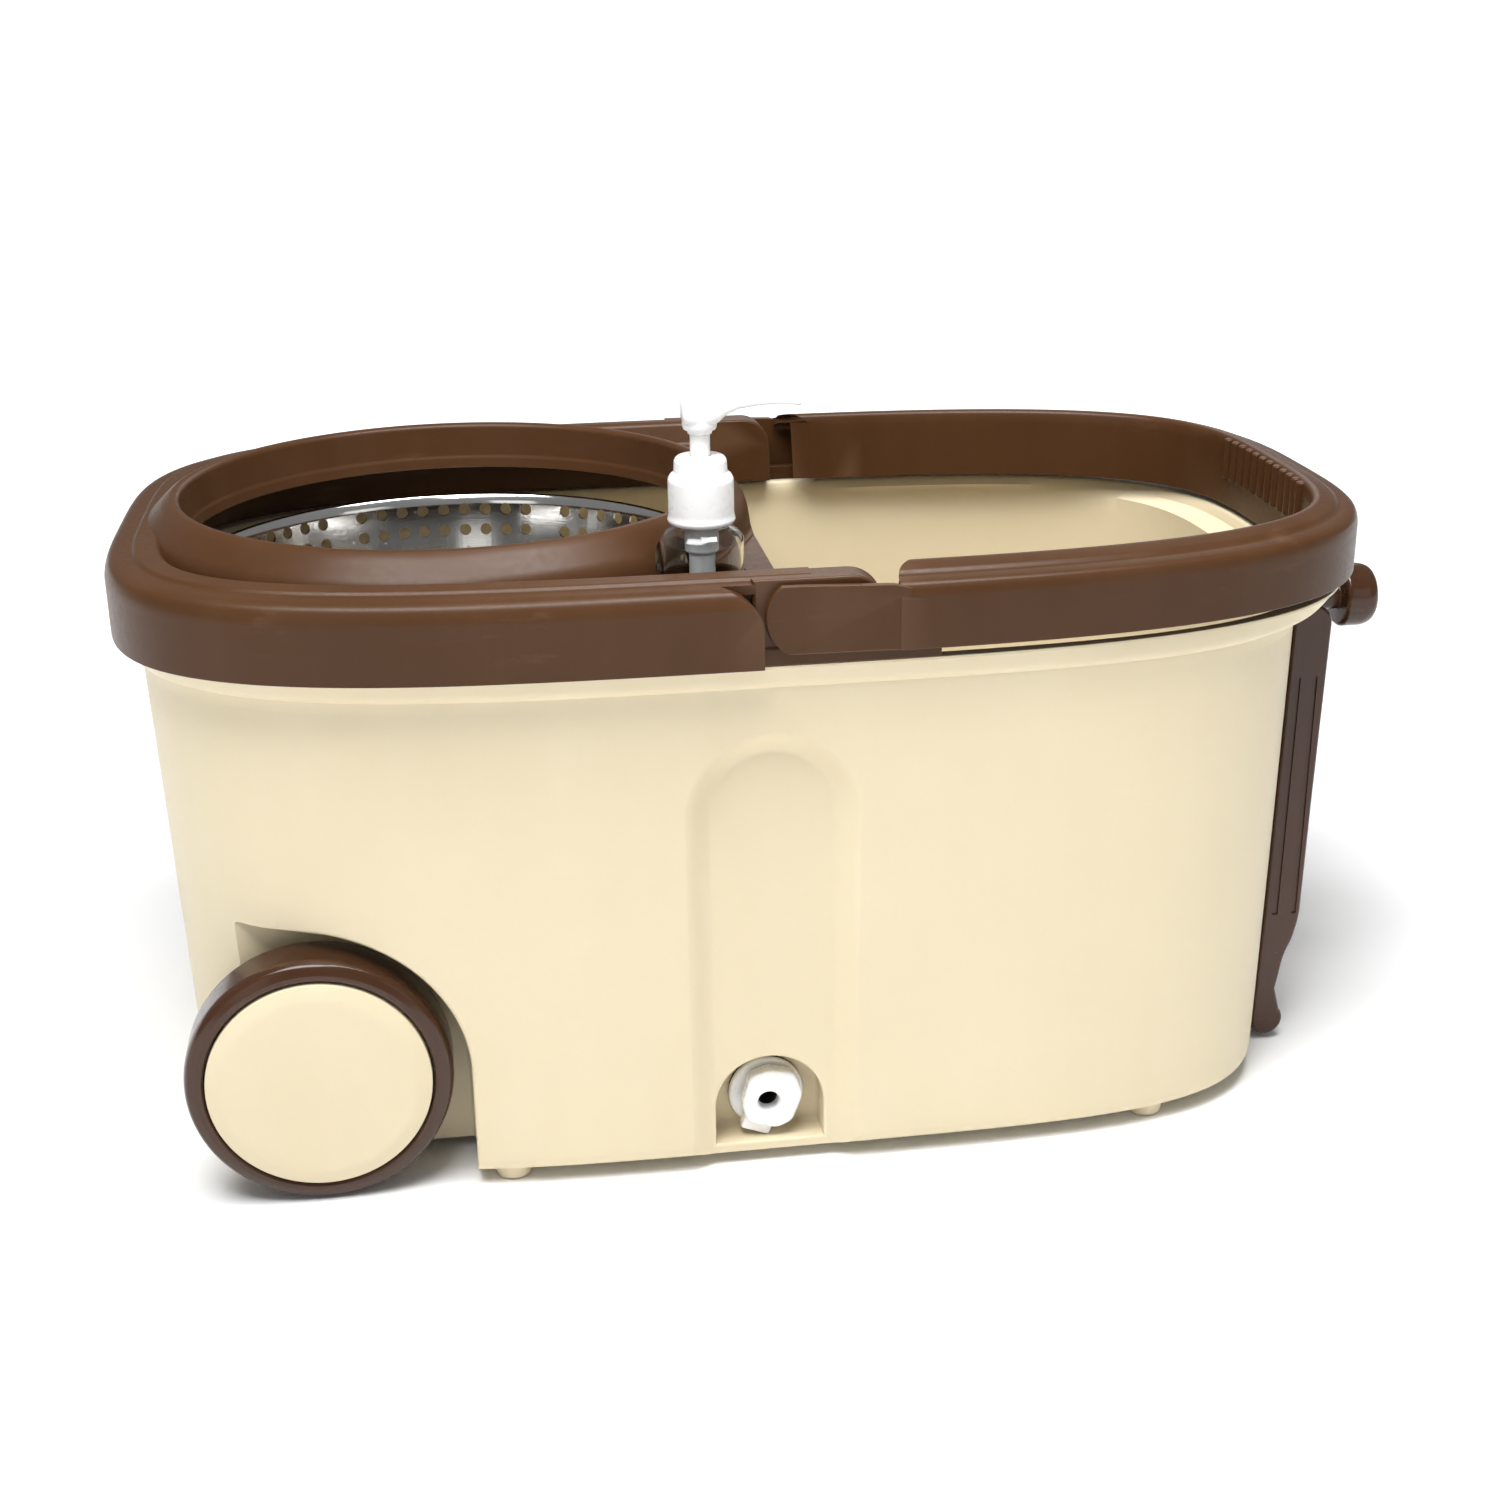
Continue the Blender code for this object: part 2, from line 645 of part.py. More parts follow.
def build_carry_handle():
    handle = bail_channel()
    set_origin(handle, (PIVOT_X, 0, PIVOT_Z))
    for side, label in ((-1, "near"), (1, "far")):
        depth = BAIL_OUT_Y - BAIL_IN_Y
        plate = prism("bail_plate_" + label, bail_plate_outline(), 0.0, depth)
        plate.rotation_euler = (math.pi / 2, 0, 0)
        plate.location = (0, -BAIL_IN_Y if side < 0 else BAIL_OUT_Y, 0)
        join(handle, plate)
        y0 = -0.1455 if side < 0 else 0.1400
        cut(handle, y_cylinder("bail_bore_" + label, PIVOT_X, PIVOT_Z,
                               PIVOT_PIN_R + RUN_CLEAR, y0, y0 + 0.0055))
        pin_profile = [
            (0, 0.0), (0.0062, 0.0), (0.0070, 0.0008), (0.0070, 0.0018),
            (PIVOT_PIN_R, 0.0018), (PIVOT_PIN_R, 0.0086), (0.0038, 0.0092), (0, 0.0092),
        ]
        pin = lathe("handle_pivot_" + label, pin_profile, brown, 24, closed=False)
        pin.rotation_euler = (-side * math.pi / 2, 0, 0)
        pin.location = (PIVOT_X, side * 0.1360, PIVOT_Z)


# ---------------------------------------------------------------- lotion pump bottle

def build_bottle():
    z = BOTTLE_LOW_Z
    r = BOTTLE_R
    body_profile = [
        (0, z + 0.0012), (r - 0.0050, z + 0.0003), (r - 0.0035, z), (r - 0.0010, z + 0.0010),
        (r, z + 0.0035), (r, 0.2450), (r - 0.0010, 0.2490), (r - 0.0040, 0.2520),
        (0.0100, 0.2532), (0.0094, 0.2545), (0.0094, 0.2640), (0.0082, 0.2640),
        (0.0082, 0.2530), (r - 0.0048, 0.2510), (r - 0.0020, 0.2484), (r - 0.0011, 0.2450),
        (r - 0.0011, z + 0.0035), (r - 0.0025, z + 0.0022), (0, z + 0.0030),
    ]
    body = lathe("bottle_body", body_profile, clear_plastic, 24, closed=False)
    closure_profile = [
        (0.0098, 0.2540), (0.0124, 0.2540), (0.0126, 0.2552), (0.0126, 0.2700),
        (0.0118, 0.2722), (0.0100, 0.2728), (0.0098, 0.2775), (0.0088, 0.2790),
        (0.0040, 0.2790), (0.0040, 0.2660), (0.0098, 0.2660),
    ]
    closure = lathe("pump_closure", closure_profile, white, 24)
    chamber_profile = [
        (0.0042, 0.2120), (0.0049, 0.2160), (0.0049, 0.2425), (0.0063, 0.2435),
        (0.0063, 0.2643), (0.0094, 0.2643), (0.0094, 0.2657), (0.0040, 0.2657),
        (0.0040, 0.2170), (0.0030, 0.2150), (0.0030, 0.2120),
    ]
    chamber = lathe("pump_chamber", chamber_profile, frosted, 16)
    tube_profile = [
        (0.0016, z + 0.0060), (0.0027, z + 0.0060), (0.0027, 0.2135), (0.0016, 0.2135),
    ]
    tube = lathe("dip_tube", tube_profile, frosted, 20)
    stem_profile = [
        (0, 0.2300), (0.0030, 0.2300), (0.0037, 0.2310), (0.0037, 0.2868), (0, 0.2868),
    ]
    stem = lathe("pump_stem", stem_profile, white, 20, closed=False)
    head_profile = [
        (0, 0.2871), (0.0046, 0.2871), (0.0048, 0.2885), (0.0060, 0.2895), (0.0064, 0.2920),
        (0.0064, 0.2975), (0.0056, 0.2996), (0, 0.3000),
    ]
    head = lathe("pump_head", head_profile, white, 20, closed=False)
    spout = x_cylinder("spout", 0, 0.2948, 0.0028, 0.0040, 0.0350, segments=16)
    join(head, spout)
    nose = z_cylinder("nose", 0.0334, 0, 0.0020, 0.2905, 0.2950, segments=14)
    join(head, nose)
    for obj in (body, closure, chamber, tube, stem, head):
        obj.location = (BOTTLE_X, BOTTLE_Y, 0)
    for obj in (spout, nose):
        obj.location = (obj.location.x + BOTTLE_X, BOTTLE_Y, obj.location.z)


# ---------------------------------------------------------------- pull handle

def pull_arm_outline():
    """Side view of one arm, drawn round the hinge axis: x outwards, y up."""
    points = arc(0, 0, ARM_EYE_R, 0, 180, 12)
    points += [(-0.0098, 0.120 - HINGE_Z), (-0.0110, 0.060 - HINGE_Z),
               (-0.0118, 0.040 - HINGE_Z), (-0.0124, 0.022 - HINGE_Z)]
    points += arc(-GRIP_OFFSET_X, GRIP_Z - HINGE_Z, GRIP_R, 170, 400, 14)
    points += [(-0.0030, 0.024 - HINGE_Z), (-0.0004, 0.040 - HINGE_Z),
               (0.0030, 0.048 - HINGE_Z), (0.0052, 0.058 - HINGE_Z),
               (0.0062, 0.110 - HINGE_Z)]
    return points


def build_pull_handle():
    outline = pull_arm_outline()
    arm = prism("pull_handle", outline, 0.0, ARM_OUT_Y - ARM_IN_Y, brown)
    arm.rotation_euler = (math.pi / 2, 0, 0)
    arm.location = (HINGE_X, -ARM_IN_Y, HINGE_Z)
    other = prism("far_arm", outline, 0.0, ARM_OUT_Y - ARM_IN_Y)
    other.rotation_euler = (math.pi / 2, 0, 0)
    other.location = (HINGE_X, ARM_OUT_Y, HINGE_Z)
    join(arm, other)
    join(arm, y_cylinder("grip_bar", HINGE_X - GRIP_OFFSET_X, GRIP_Z, GRIP_R - 0.0003,
                         -ARM_IN_Y - 0.004, ARM_IN_Y + 0.004, segments=28))
    join(arm, box("web", (HINGE_X - 0.0050, -ARM_IN_Y - 0.003, 0.060),
                  (HINGE_X - 0.0022, ARM_IN_Y + 0.003, 0.122)))
    cut(arm, y_cylinder("rod_bore", HINGE_X, HINGE_Z, ROD_R + RUN_CLEAR, -0.080, 0.080,
                        segments=32))
    rod = y_cylinder("hinge_rod", HINGE_X, HINGE_Z, ROD_R, -0.0740, 0.0740, steel,
                     segments=32)
    return arm, rod


def build_lock():
    wall_x = MIDDLE_X + 0.2274
    low = (wall_x + GAP, -0.0200, 0.1700)
    high = (HINGE_X + 0.0095, 0.0200, 0.1965)
    bracket = box("hinge_bracket", low, high, brown)
    cut(bracket, y_cylinder("bracket_bore", HINGE_X, HINGE_Z, ROD_R + RUN_CLEAR, -0.03,
                            0.03, segments=32))
    cut(bracket, box("clamp_slot", (HINGE_X - 0.0012, -0.03, 0.16),
                     (HINGE_X + 0.0012, 0.03, HINGE_Z - 0.002)))
    cut(bracket, x_cylinder("screw_bore", 0, KNOB_Z, 0.0030 + RUN_CLEAR,
                            wall_x + 0.0040, 0.26, segments=24))
    x0 = wall_x + 0.0060
    length = KNOB_END_X - x0
    face = KNOB_FACE_X - x0
    neck = high[0] + GAP - x0
    knob_profile = [
        (0, 0.0), (0.0030, 0.0), (0.0030, neck), (0.0060, neck), (0.0060, face),
        (KNOB_R - 0.0012, face), (KNOB_R, face + 0.0012), (KNOB_R, length - 0.0060),
        (KNOB_R - 0.0020, length - 0.0022), (KNOB_R - 0.0060, length - 0.0004),
        (KNOB_R - 0.0090, length), (0, length),
    ]
    knob = lathe("lock_knob", knob_profile, brown, 24, closed=False)
    knob.rotation_euler = (0, math.pi / 2, 0)
    knob.location = (x0, 0, KNOB_Z)
    return bracket, knob


# ---------------------------------------------------------------- drain fitting

def build_drain():
    y = RECESS_FLOOR_Y
    gasket_profile = [(DRAIN_BORE_R, GAP), (0.0150, GAP), (0.0150, 0.0015),
                      (DRAIN_BORE_R, 0.0015)]
    gasket = lathe("drain_gasket", gasket_profile, black_rubber, 24)
    socket_profile = [
        (0.0080, -0.0130), (0.0105, -0.0130), (0.0105, 0.0018), (0.0150, 0.0018),
        (0.0150, 0.0034), (0.0142, 0.0040), (0.0080, 0.0040),
    ]
    socket = lathe("drain_socket", socket_profile, white, 28)
    nut_profile = [(0.0126, -0.0085), (0.0175, -0.0085), (0.0175, -0.0028),
                   (0.0126, -0.0028)]
    nut = lathe("drain_nut", nut_profile, white, 6, smooth=False)
    plug_profile = [
        (0, -0.0090), (0.0070, -0.0090), (0.0077, -0.0080), (0.0077, 0.0043), (0, 0.0043),
    ]
    plug = lathe("drain_plug", plug_profile, white, 32, closed=False)
    cap_profile = [
        (0, 0.0033), (0.0060, 0.0033), (0.0060, 0.0043), (0.0140, 0.0043),
        (0.0140, 0.0098), (0.0130, 0.0120), (0.0044, 0.0120), (0.0041, 0.0112),
        (0.0041, 0.0060), (0, 0.0060),
    ]
    cap = lathe("plug_cap", cap_profile, segments=8, closed=False, smooth=False)
    join(plug, cap)
    tab_outline = [(-0.0112, -0.0120), (0.0000, -0.0163), (0.0030, -0.0080),
                   (-0.0080, -0.0040)]
    tab = prism("plug_tab", tab_outline, 0.0045, 0.0090)
    join(plug, tab)
    for obj in (gasket, socket, nut, plug, cap, tab):
        obj.rotation_euler = (math.pi / 2, 0, 0)
        obj.location = (RECESS_X, -y, DRAIN_Z)


build_tub()
build_wheel(-1, "near")
build_wheel(1, "far")
build_cover()
build_basket()
build_carry_handle()
build_bottle()
build_pull_handle()
build_lock()
build_drain()
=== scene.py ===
import json
import math

import bmesh
import bpy
from mathutils import Matrix, Vector


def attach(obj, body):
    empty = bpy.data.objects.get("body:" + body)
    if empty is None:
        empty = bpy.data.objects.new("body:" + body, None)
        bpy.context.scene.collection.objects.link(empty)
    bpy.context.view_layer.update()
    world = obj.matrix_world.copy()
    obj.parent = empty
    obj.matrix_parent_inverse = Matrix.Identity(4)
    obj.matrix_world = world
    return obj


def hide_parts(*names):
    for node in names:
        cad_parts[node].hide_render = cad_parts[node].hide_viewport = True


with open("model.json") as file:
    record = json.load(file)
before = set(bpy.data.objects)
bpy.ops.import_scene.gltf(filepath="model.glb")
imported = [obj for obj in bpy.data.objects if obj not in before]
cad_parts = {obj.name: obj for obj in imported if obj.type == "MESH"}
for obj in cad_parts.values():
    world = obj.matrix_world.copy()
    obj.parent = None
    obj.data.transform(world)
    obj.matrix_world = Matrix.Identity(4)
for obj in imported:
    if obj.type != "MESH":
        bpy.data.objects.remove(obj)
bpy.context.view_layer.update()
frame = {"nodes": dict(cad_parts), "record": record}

MIDDLE_X = -0.022
AROUND = 240

# plan outlines: centre x, left reach, right reach, half width, left and right exponents
SKIRT_PLAN = (MIDDLE_X - 0.002, 0.2440, 0.2600, 0.1485, 3.6, 3.2)
RIM_PLAN = (MIDDLE_X - 0.002, 0.2395, 0.2540, 0.1425, 3.6, 3.2)
BODY_TOP_PLAN = (MIDDLE_X, 0.2365, 0.2275, 0.1385, 3.4, 3.9)
BODY_BASE_PLAN = (MIDDLE_X, 0.2305, 0.2195, 0.1365, 3.4, 4.6)
MOUTH_PLAN = (MIDDLE_X - 0.001, 0.2330, 0.2365, 0.1359, 3.5, 3.6)

WALL = 0.0025
BASE_Z = 0.005
BODY_LOW_Z = 0.0115
BODY_TOP_Z = 0.197
LEDGE_Z = 0.211
FLOOR_Z = 0.008

WHEEL_X = MIDDLE_X - 0.176
WHEEL_R = 0.0507
WHEEL_BACK_Y = 0.1090
WHEEL_WIDTH = 0.0235
WELL_R = 0.0575
WELL_TOP_Z = 0.1080
WELL_WALL_Y = 0.1020
BOSS_IN_Y = 0.0908
BOSS_OUT_Y = 0.1085

CHANNEL_X = MIDDLE_X - 0.0015
CHANNEL_HALF = 0.0285
CHANNEL_TOP_Z = 0.1790
CHANNEL_FLOOR_Y = 0.1320
DRAIN_X = MIDDLE_X - 0.0030
DRAIN_Z = 0.0250
RECESS_HALF = 0.0215
RECESS_FLOOR_Y = 0.1180

BASKET_X = MIDDLE_X - 0.113
COLLAR_TOP_Z = 0.2516
DECK_Z = 0.2320
DECK_EDGE_X = MIDDLE_X + 0.007
SKIRT_END_X = MIDDLE_X - 0.0058
SKIRT_LOW_Z = 0.2114
TONGUE_END_X = MIDDLE_X + 0.040
TONGUE_IN_Y = 0.1280
TONGUE_OUT_Y = 0.1414

BOWL_RIM_R = 0.1105
BOWL_RIM_Z = 0.2185
BOWL_FLOOR_Z = 0.1360
BOWL_SHEET = 0.0008

PIVOT_X = MIDDLE_X + 0.010
PIVOT_Z = 0.2295
BAIL_START_X = MIDDLE_X + 0.044

BOTTLE_X = MIDDLE_X - 0.0214
BOTTLE_Y = -0.0980
BOTTLE_R = 0.0157
BOTTLE_LOW_Z = 0.1865
POCKET_R = 0.0164

HINGE_X = MIDDLE_X + 0.2338
HINGE_Z = 0.1905
ARM_OUT_Y = 0.0700
ARM_IN_Y = 0.0560
GRIP_OFFSET_X = 0.0060
GRIP_R = 0.0072
GRIP_Z = 0.0092
KNOB_Z = 0.1805

CAMERA_PLACE = (-0.136, -0.8517, 0.4523)
CAMERA_YAW = 8.28
CAMERA_PITCH = 20.84
CAMERA_ROLL = -0.72
CAMERA_LENS = 50.57
FLOOR_REACH = 30.0


# ---------------------------------------------------------------- mesh helpers

def clamp(value, low=0.0, high=1.0):
    return max(low, min(high, value))


def mixed(a, b, share):
    return tuple(p + (q - p) * share for p, q in zip(a, b))


def add_mesh(name, bm, smooth=35.0):
    bmesh.ops.recalc_face_normals(bm, faces=bm.faces)
    mesh = bpy.data.meshes.new(name)
    bm.to_mesh(mesh)
    bm.free()
    if smooth:
        mesh.shade_smooth()
        mesh.set_sharp_from_angle(angle=math.radians(smooth))
    obj = bpy.data.objects.new(name, mesh)
    bpy.context.scene.collection.objects.link(obj)
    return obj


def settle(obj, smooth=35.0):
    """Applies the modifiers and the placing, so that the mesh is in the row frame."""
    bpy.context.view_layer.update()
    graph = bpy.context.evaluated_depsgraph_get()
    mesh = bpy.data.meshes.new_from_object(obj.evaluated_get(graph))
    mesh.transform(obj.matrix_world)
    obj.modifiers.clear()
    obj.data = mesh
    obj.matrix_world = Matrix.Identity(4)
    if smooth:
        mesh.shade_smooth()
        mesh.set_sharp_from_angle(angle=math.radians(smooth))
    return obj


def combine(target, operation, *tools):
    """Cuts the tools out of the target, or joins them to it."""
    for tool in tools:
        mod = target.modifiers.new(tool.name, "BOOLEAN")
        mod.object = tool
        mod.operation = operation
        mod.solver = "EXACT"
    settle(target)
    for tool in tools:
        bpy.data.objects.remove(tool, do_unlink=True)
    return target


def cut(target, *tools):
    return combine(target, "DIFFERENCE", *tools)


def join(target, *tools):
    return combine(target, "UNION", *tools)


def soften(points, radius, closed=True, steps=4):
    """Rounds the corners of an outline. A point may carry its own radius as a third value."""
    count = len(points)
    smooth = []
    for i, point in enumerate(points):
        here = point[:2]
        reach = point[2] if len(point) > 2 else radius
        if reach == 0 or (not closed and i in (0, count - 1)):
            smooth.append(here)
            continue
        before = points[i - 1][:2]
        after = points[(i + 1) % count][:2]
        len_before = math.dist(before, here)
        len_after = math.dist(after, here)
        reach = min(reach, 0.48 * len_before, 0.48 * len_after)
        a = mixed(here, before, reach / len_before)
        b = mixed(here, after, reach / len_after)
        for k in range(steps + 1):
            t = k / steps
            first = mixed(a, here, t)
            second = mixed(here, b, t)
            smooth.append(mixed(first, second, t))
    return smooth


def plan(outline, inset=0.0, count=AROUND):
    mid, left, right, half, n_left, n_right = outline
    points = []
    for i in range(count):
        angle = 2.0 * math.pi * (i + 0.5) / count
        c = math.cos(angle)
        s = math.sin(angle)
        power = 2.0 / (n_right if c > 0 else n_left)
        reach = right if c > 0 else left
        x = mid + reach * math.copysign(abs(c) ** power, c)
        y = half * math.copysign(abs(s) ** power, s)
        points.append((x, y))
    if inset == 0.0:
        return points
    moved = []
    for i, (x, y) in enumerate(points):
        before = points[i - 1]
        after = points[(i + 1) % count]
        tx = after[0] - before[0]
        ty = after[1] - before[1]
        size = math.hypot(tx, ty)
        moved.append((x - inset * ty / size, y + inset * tx / size))
    return moved


def skin(bm, loops, caps=True):
    """Joins loops of the same length into a closed tube."""
    for low, high in zip(loops, loops[1:]):
        count = len(low)
        for i in range(count):
            j = (i + 1) % count
            bm.faces.new((low[i], low[j], high[j], high[i]))
    if caps:
        bm.faces.new(loops[0])
        bm.faces.new(loops[-1])


def loft(name, rings, smooth=35.0):
    bm = bmesh.new()
    loops = [[bm.verts.new((x, y, z)) for x, y in points] for points, z in rings]
    skin(bm, loops)
    return add_mesh(name, bm, smooth)


def tube(name, rings, smooth=35.0):
    """Closed skin over rings of full points."""
    bm = bmesh.new()
    loops = [[bm.verts.new(p) for p in ring] for ring in rings]
    skin(bm, loops)
    return add_mesh(name, bm, smooth)


def lathe(name, profile, segments=128, closed=True, smooth=35.0):
    bm = bmesh.new()
    verts = [bm.verts.new((r, 0.0, z)) for r, z in profile]
    edges = [bm.edges.new(pair) for pair in zip(verts, verts[1:])]
    if closed:
        edges.append(bm.edges.new((verts[-1], verts[0])))
    bmesh.ops.spin(bm, geom=verts + edges, cent=(0, 0, 0), axis=(0, 0, 1),
                   angle=2.0 * math.pi, steps=segments, use_merge=True)
    bmesh.ops.remove_doubles(bm, verts=bm.verts, dist=0.000001)
    return add_mesh(name, bm, smooth)


TURNS = {
    "z": Matrix.Identity(4),
    "-z": Matrix.Rotation(math.pi, 4, "X"),
    "x": Matrix.Rotation(math.pi / 2, 4, "Y"),
    "y": Matrix.Rotation(-math.pi / 2, 4, "X"),
    "-y": Matrix.Rotation(math.pi / 2, 4, "X"),
}


def placed(obj, axis, x, y, z):
    """Turns a piece drawn along +Z to an axis and moves it to its place in the mesh."""
    obj.data.transform(Matrix.Translation((x, y, z)) @ TURNS[axis])
    return obj


def rod(name, axis, place, radius, length, edge=0.0, segments=64):
    profile = [(0, 0), (radius, 0), (radius, length), (0, length)]
    if edge:
        profile = soften(profile, edge, closed=False)
    return placed(lathe(name, profile, segments, closed=False), axis, *place)


def prism(name, outline, low, high, edge=0.0, axis="z", place=(0, 0, 0)):
    """Outline raised from low to high, with its two rims rounded by edge."""
    bm = bmesh.new()
    base = [bm.verts.new((x, y, low)) for x, y in outline]
    face = bm.faces.new(base)
    grown = bmesh.ops.extrude_face_region(bm, geom=[face])
    top = [v for v in grown["geom"] if isinstance(v, bmesh.types.BMVert)]
    bmesh.ops.translate(bm, verts=top, vec=(0, 0, high - low))
    if edge:
        rims = [e for e in bm.edges if abs(e.verts[0].co.z - e.verts[1].co.z) < 1e-7]
        bmesh.ops.bevel(bm, geom=rims, offset=edge, segments=3, profile=0.5,
                        affect="EDGES", clamp_overlap=True)
    obj = add_mesh(name, bm)
    return placed(obj, axis, *place)


def box(name, low, high, edge=0.0):
    outline = [(low[0], low[1]), (high[0], low[1]), (high[0], high[1]), (low[0], high[1])]
    if edge:
        outline = soften(outline, edge)
    return prism(name, outline, low[2], high[2], edge * 0.6)


def arc(cx, cy, radius, start, end, steps):
    points = []
    for i in range(steps + 1):
        a = math.radians(start + (end - start) * i / steps)
        points.append((cx + radius * math.cos(a), cy + radius * math.sin(a)))
    return points


# ---------------------------------------------------------------- materials

class Paint:
    """One procedural material. Every texture is read in object space, in metres."""

    def __init__(self, name):
        self.mat = bpy.data.materials.new(name)
        self.mat.use_nodes = True
        self.tree = self.mat.node_tree
        self.shader = self.tree.nodes["Principled BSDF"]
        self.place = self.tree.nodes.new("ShaderNodeTexCoord").outputs["Object"]
        self.normal = None

    def feed(self, socket, value):
        if isinstance(value, bpy.types.NodeSocket):
            self.tree.links.new(value, socket)
        else:
            socket.default_value = value

    def set(self, **values):
        for name, value in values.items():
            self.feed(self.shader.inputs[name.replace("_", " ")], value)

    def noise(self, scale, detail=2.0, stretch=None, rough=0.5):
        node = self.tree.nodes.new("ShaderNodeTexNoise")
        node.inputs["Scale"].default_value = scale
        node.inputs["Detail"].default_value = detail
        node.inputs["Roughness"].default_value = rough
        self.feed(node.inputs["Vector"], self.stretched(stretch) if stretch else self.place)
        return node.outputs["Fac"]

    def stretched(self, scale, turn=(0, 0, 0)):
        node = self.tree.nodes.new("ShaderNodeMapping")
        node.inputs["Scale"].default_value = scale
        node.inputs["Rotation"].default_value = turn
        self.feed(node.inputs["Vector"], self.place)
        return node.outputs["Vector"]

    def specks(self, scale, size):
        node = self.tree.nodes.new("ShaderNodeTexVoronoi")
        node.inputs["Scale"].default_value = scale
        self.feed(node.inputs["Vector"], self.place)
        return self.span(node.outputs["Distance"], size, size * 0.5, 0.0, 1.0)

    def span(self, value, low, high, to_low=0.0, to_high=1.0):
        node = self.tree.nodes.new("ShaderNodeMapRange")
        self.feed(node.inputs["Value"], value)
        node.inputs["From Min"].default_value = low
        node.inputs["From Max"].default_value = high
        node.inputs["To Min"].default_value = to_low
        node.inputs["To Max"].default_value = to_high
        return node.outputs["Result"]

    def math(self, operation, a, b):
        node = self.tree.nodes.new("ShaderNodeMath")
        node.operation = operation
        node.use_clamp = True
        self.feed(node.inputs[0], a)
        self.feed(node.inputs[1], b)
        return node.outputs[0]

    def mix(self, share, a, b):
        node = self.tree.nodes.new("ShaderNodeMix")
        node.data_type = "RGBA"
        self.feed(node.inputs["Factor"], share)
        for socket, value in ((node.inputs[6], a), (node.inputs[7], b)):
            self.feed(socket, (*value, 1.0) if isinstance(value, tuple) else value)
        return node.outputs[2]

    def bump(self, height, depth, strength=1.0):
        node = self.tree.nodes.new("ShaderNodeBump")
        node.inputs["Strength"].default_value = strength
        node.inputs["Distance"].default_value = depth
        self.feed(node.inputs["Height"], height)
        if self.normal is not None:
            self.feed(node.inputs["Normal"], self.normal)
        self.normal = node.outputs["Normal"]
        self.feed(self.shader.inputs["Normal"], self.normal)

    def edges(self, low=0.53, high=0.62):
        node = self.tree.nodes.new("ShaderNodeNewGeometry")
        return self.span(node.outputs["Pointiness"], low, high)


def moulded(name, dark, base, light, rough, scuffs=0.3, grain=0.00002, specks=0.25,
            edge_light=0.3, flow_marks=0.18):
    """Injection-moulded plastic: uneven tone, flow marks, handling scuffs, dust, fine grain."""
    paint = Paint(name)
    tone = paint.noise(7.0, 3.0)
    colour = paint.mix(paint.span(tone, 0.35, 0.65), dark, base)
    flow = paint.noise(5.0, 3.0, stretch=(9.0, 9.0, 1.2))
    colour = paint.mix(paint.span(flow, 0.45, 0.80, 0.0, flow_marks), colour, light)
    rub = paint.noise(38.0, 6.0, stretch=(1.0, 1.0, 5.0), rough=0.7)
    patch = paint.noise(14.0, 2.0)
    rubbed = paint.math("MULTIPLY", paint.span(rub, 0.55, 0.72), paint.span(patch, 0.5, 0.7))
    colour = paint.mix(paint.math("MULTIPLY", rubbed, scuffs), colour, light)
    dust = paint.math("MULTIPLY", paint.specks(330.0, 0.10), paint.span(patch, 0.55, 0.72))
    colour = paint.mix(paint.math("MULTIPLY", dust, specks), colour, light)
    colour = paint.mix(paint.math("MULTIPLY", paint.edges(), edge_light), colour, light)
    paint.set(Base_Color=colour)
    fine = paint.noise(420.0, 3.0)
    sheen = paint.span(fine, 0.3, 0.7, rough - 0.03, rough + 0.05)
    paint.set(Roughness=paint.math("ADD", sheen, paint.math("MULTIPLY", rubbed, 0.22)))
    paint.bump(fine, grain, 0.6)
    paint.bump(paint.noise(26.0, 2.0), grain * 6, 0.25)
    paint.bump(rubbed, grain * 1.5, 0.5)
    return paint


def cream_paint():
    paint = moulded("cream_moulded", (0.675, 0.580, 0.395), (0.700, 0.608, 0.420),
                    (0.745, 0.665, 0.495), 0.42, scuffs=0.25, specks=0.0, edge_light=0.12)
    paint.set(Subsurface_Weight=0.10, Subsurface_Scale=0.003, IOR=1.49)
    paint.shader.inputs["Subsurface Radius"].default_value = (1.0, 0.7, 0.4)
    return paint.mat


def brown_paint():
    paint = moulded("brown_moulded", (0.056, 0.023, 0.008), (0.068, 0.029, 0.011),
                    (0.180, 0.104, 0.062), 0.34, scuffs=0.24, specks=0.30, edge_light=0.30,
                    flow_marks=0.06)
    paint.set(IOR=1.49, Specular_IOR_Level=0.20)
    return paint.mat


def glossy_brown_paint():
    paint = moulded("brown_glossy", (0.042, 0.016, 0.006), (0.054, 0.021, 0.009),
                    (0.120, 0.066, 0.042), 0.20, scuffs=0.22, specks=0.15, edge_light=0.22,
                    flow_marks=0.06)
    paint.set(IOR=1.50, Specular_IOR_Level=0.30, Coat_Weight=0.18, Coat_Roughness=0.10)
    return paint.mat


def white_paint():
    paint = moulded("white_moulded", (0.80, 0.80, 0.79), (0.86, 0.86, 0.85),
                    (0.90, 0.90, 0.90), 0.28, scuffs=0.15, specks=0.0, edge_light=0.2)
    paint.set(Subsurface_Weight=0.12, Subsurface_Scale=0.002, IOR=1.50)
    return paint.mat


def frosted_paint():
    paint = moulded("frosted_moulded", (0.72, 0.73, 0.73), (0.80, 0.80, 0.80),
                    (0.86, 0.86, 0.86), 0.40, scuffs=0.1, specks=0.0, edge_light=0.1)
    paint.set(Transmission_Weight=0.12, IOR=1.50)
    return paint.mat


# Dark seal rubber; the same finish also paints the shade deep inside the drain plug's hole.
def rubber_and_hole_shade_paint():
    paint = moulded("seal_rubber", (0.012, 0.012, 0.012), (0.020, 0.020, 0.020),
                    (0.055, 0.055, 0.055), 0.70, scuffs=0.3, specks=0.2, edge_light=0.3)
    return paint.mat


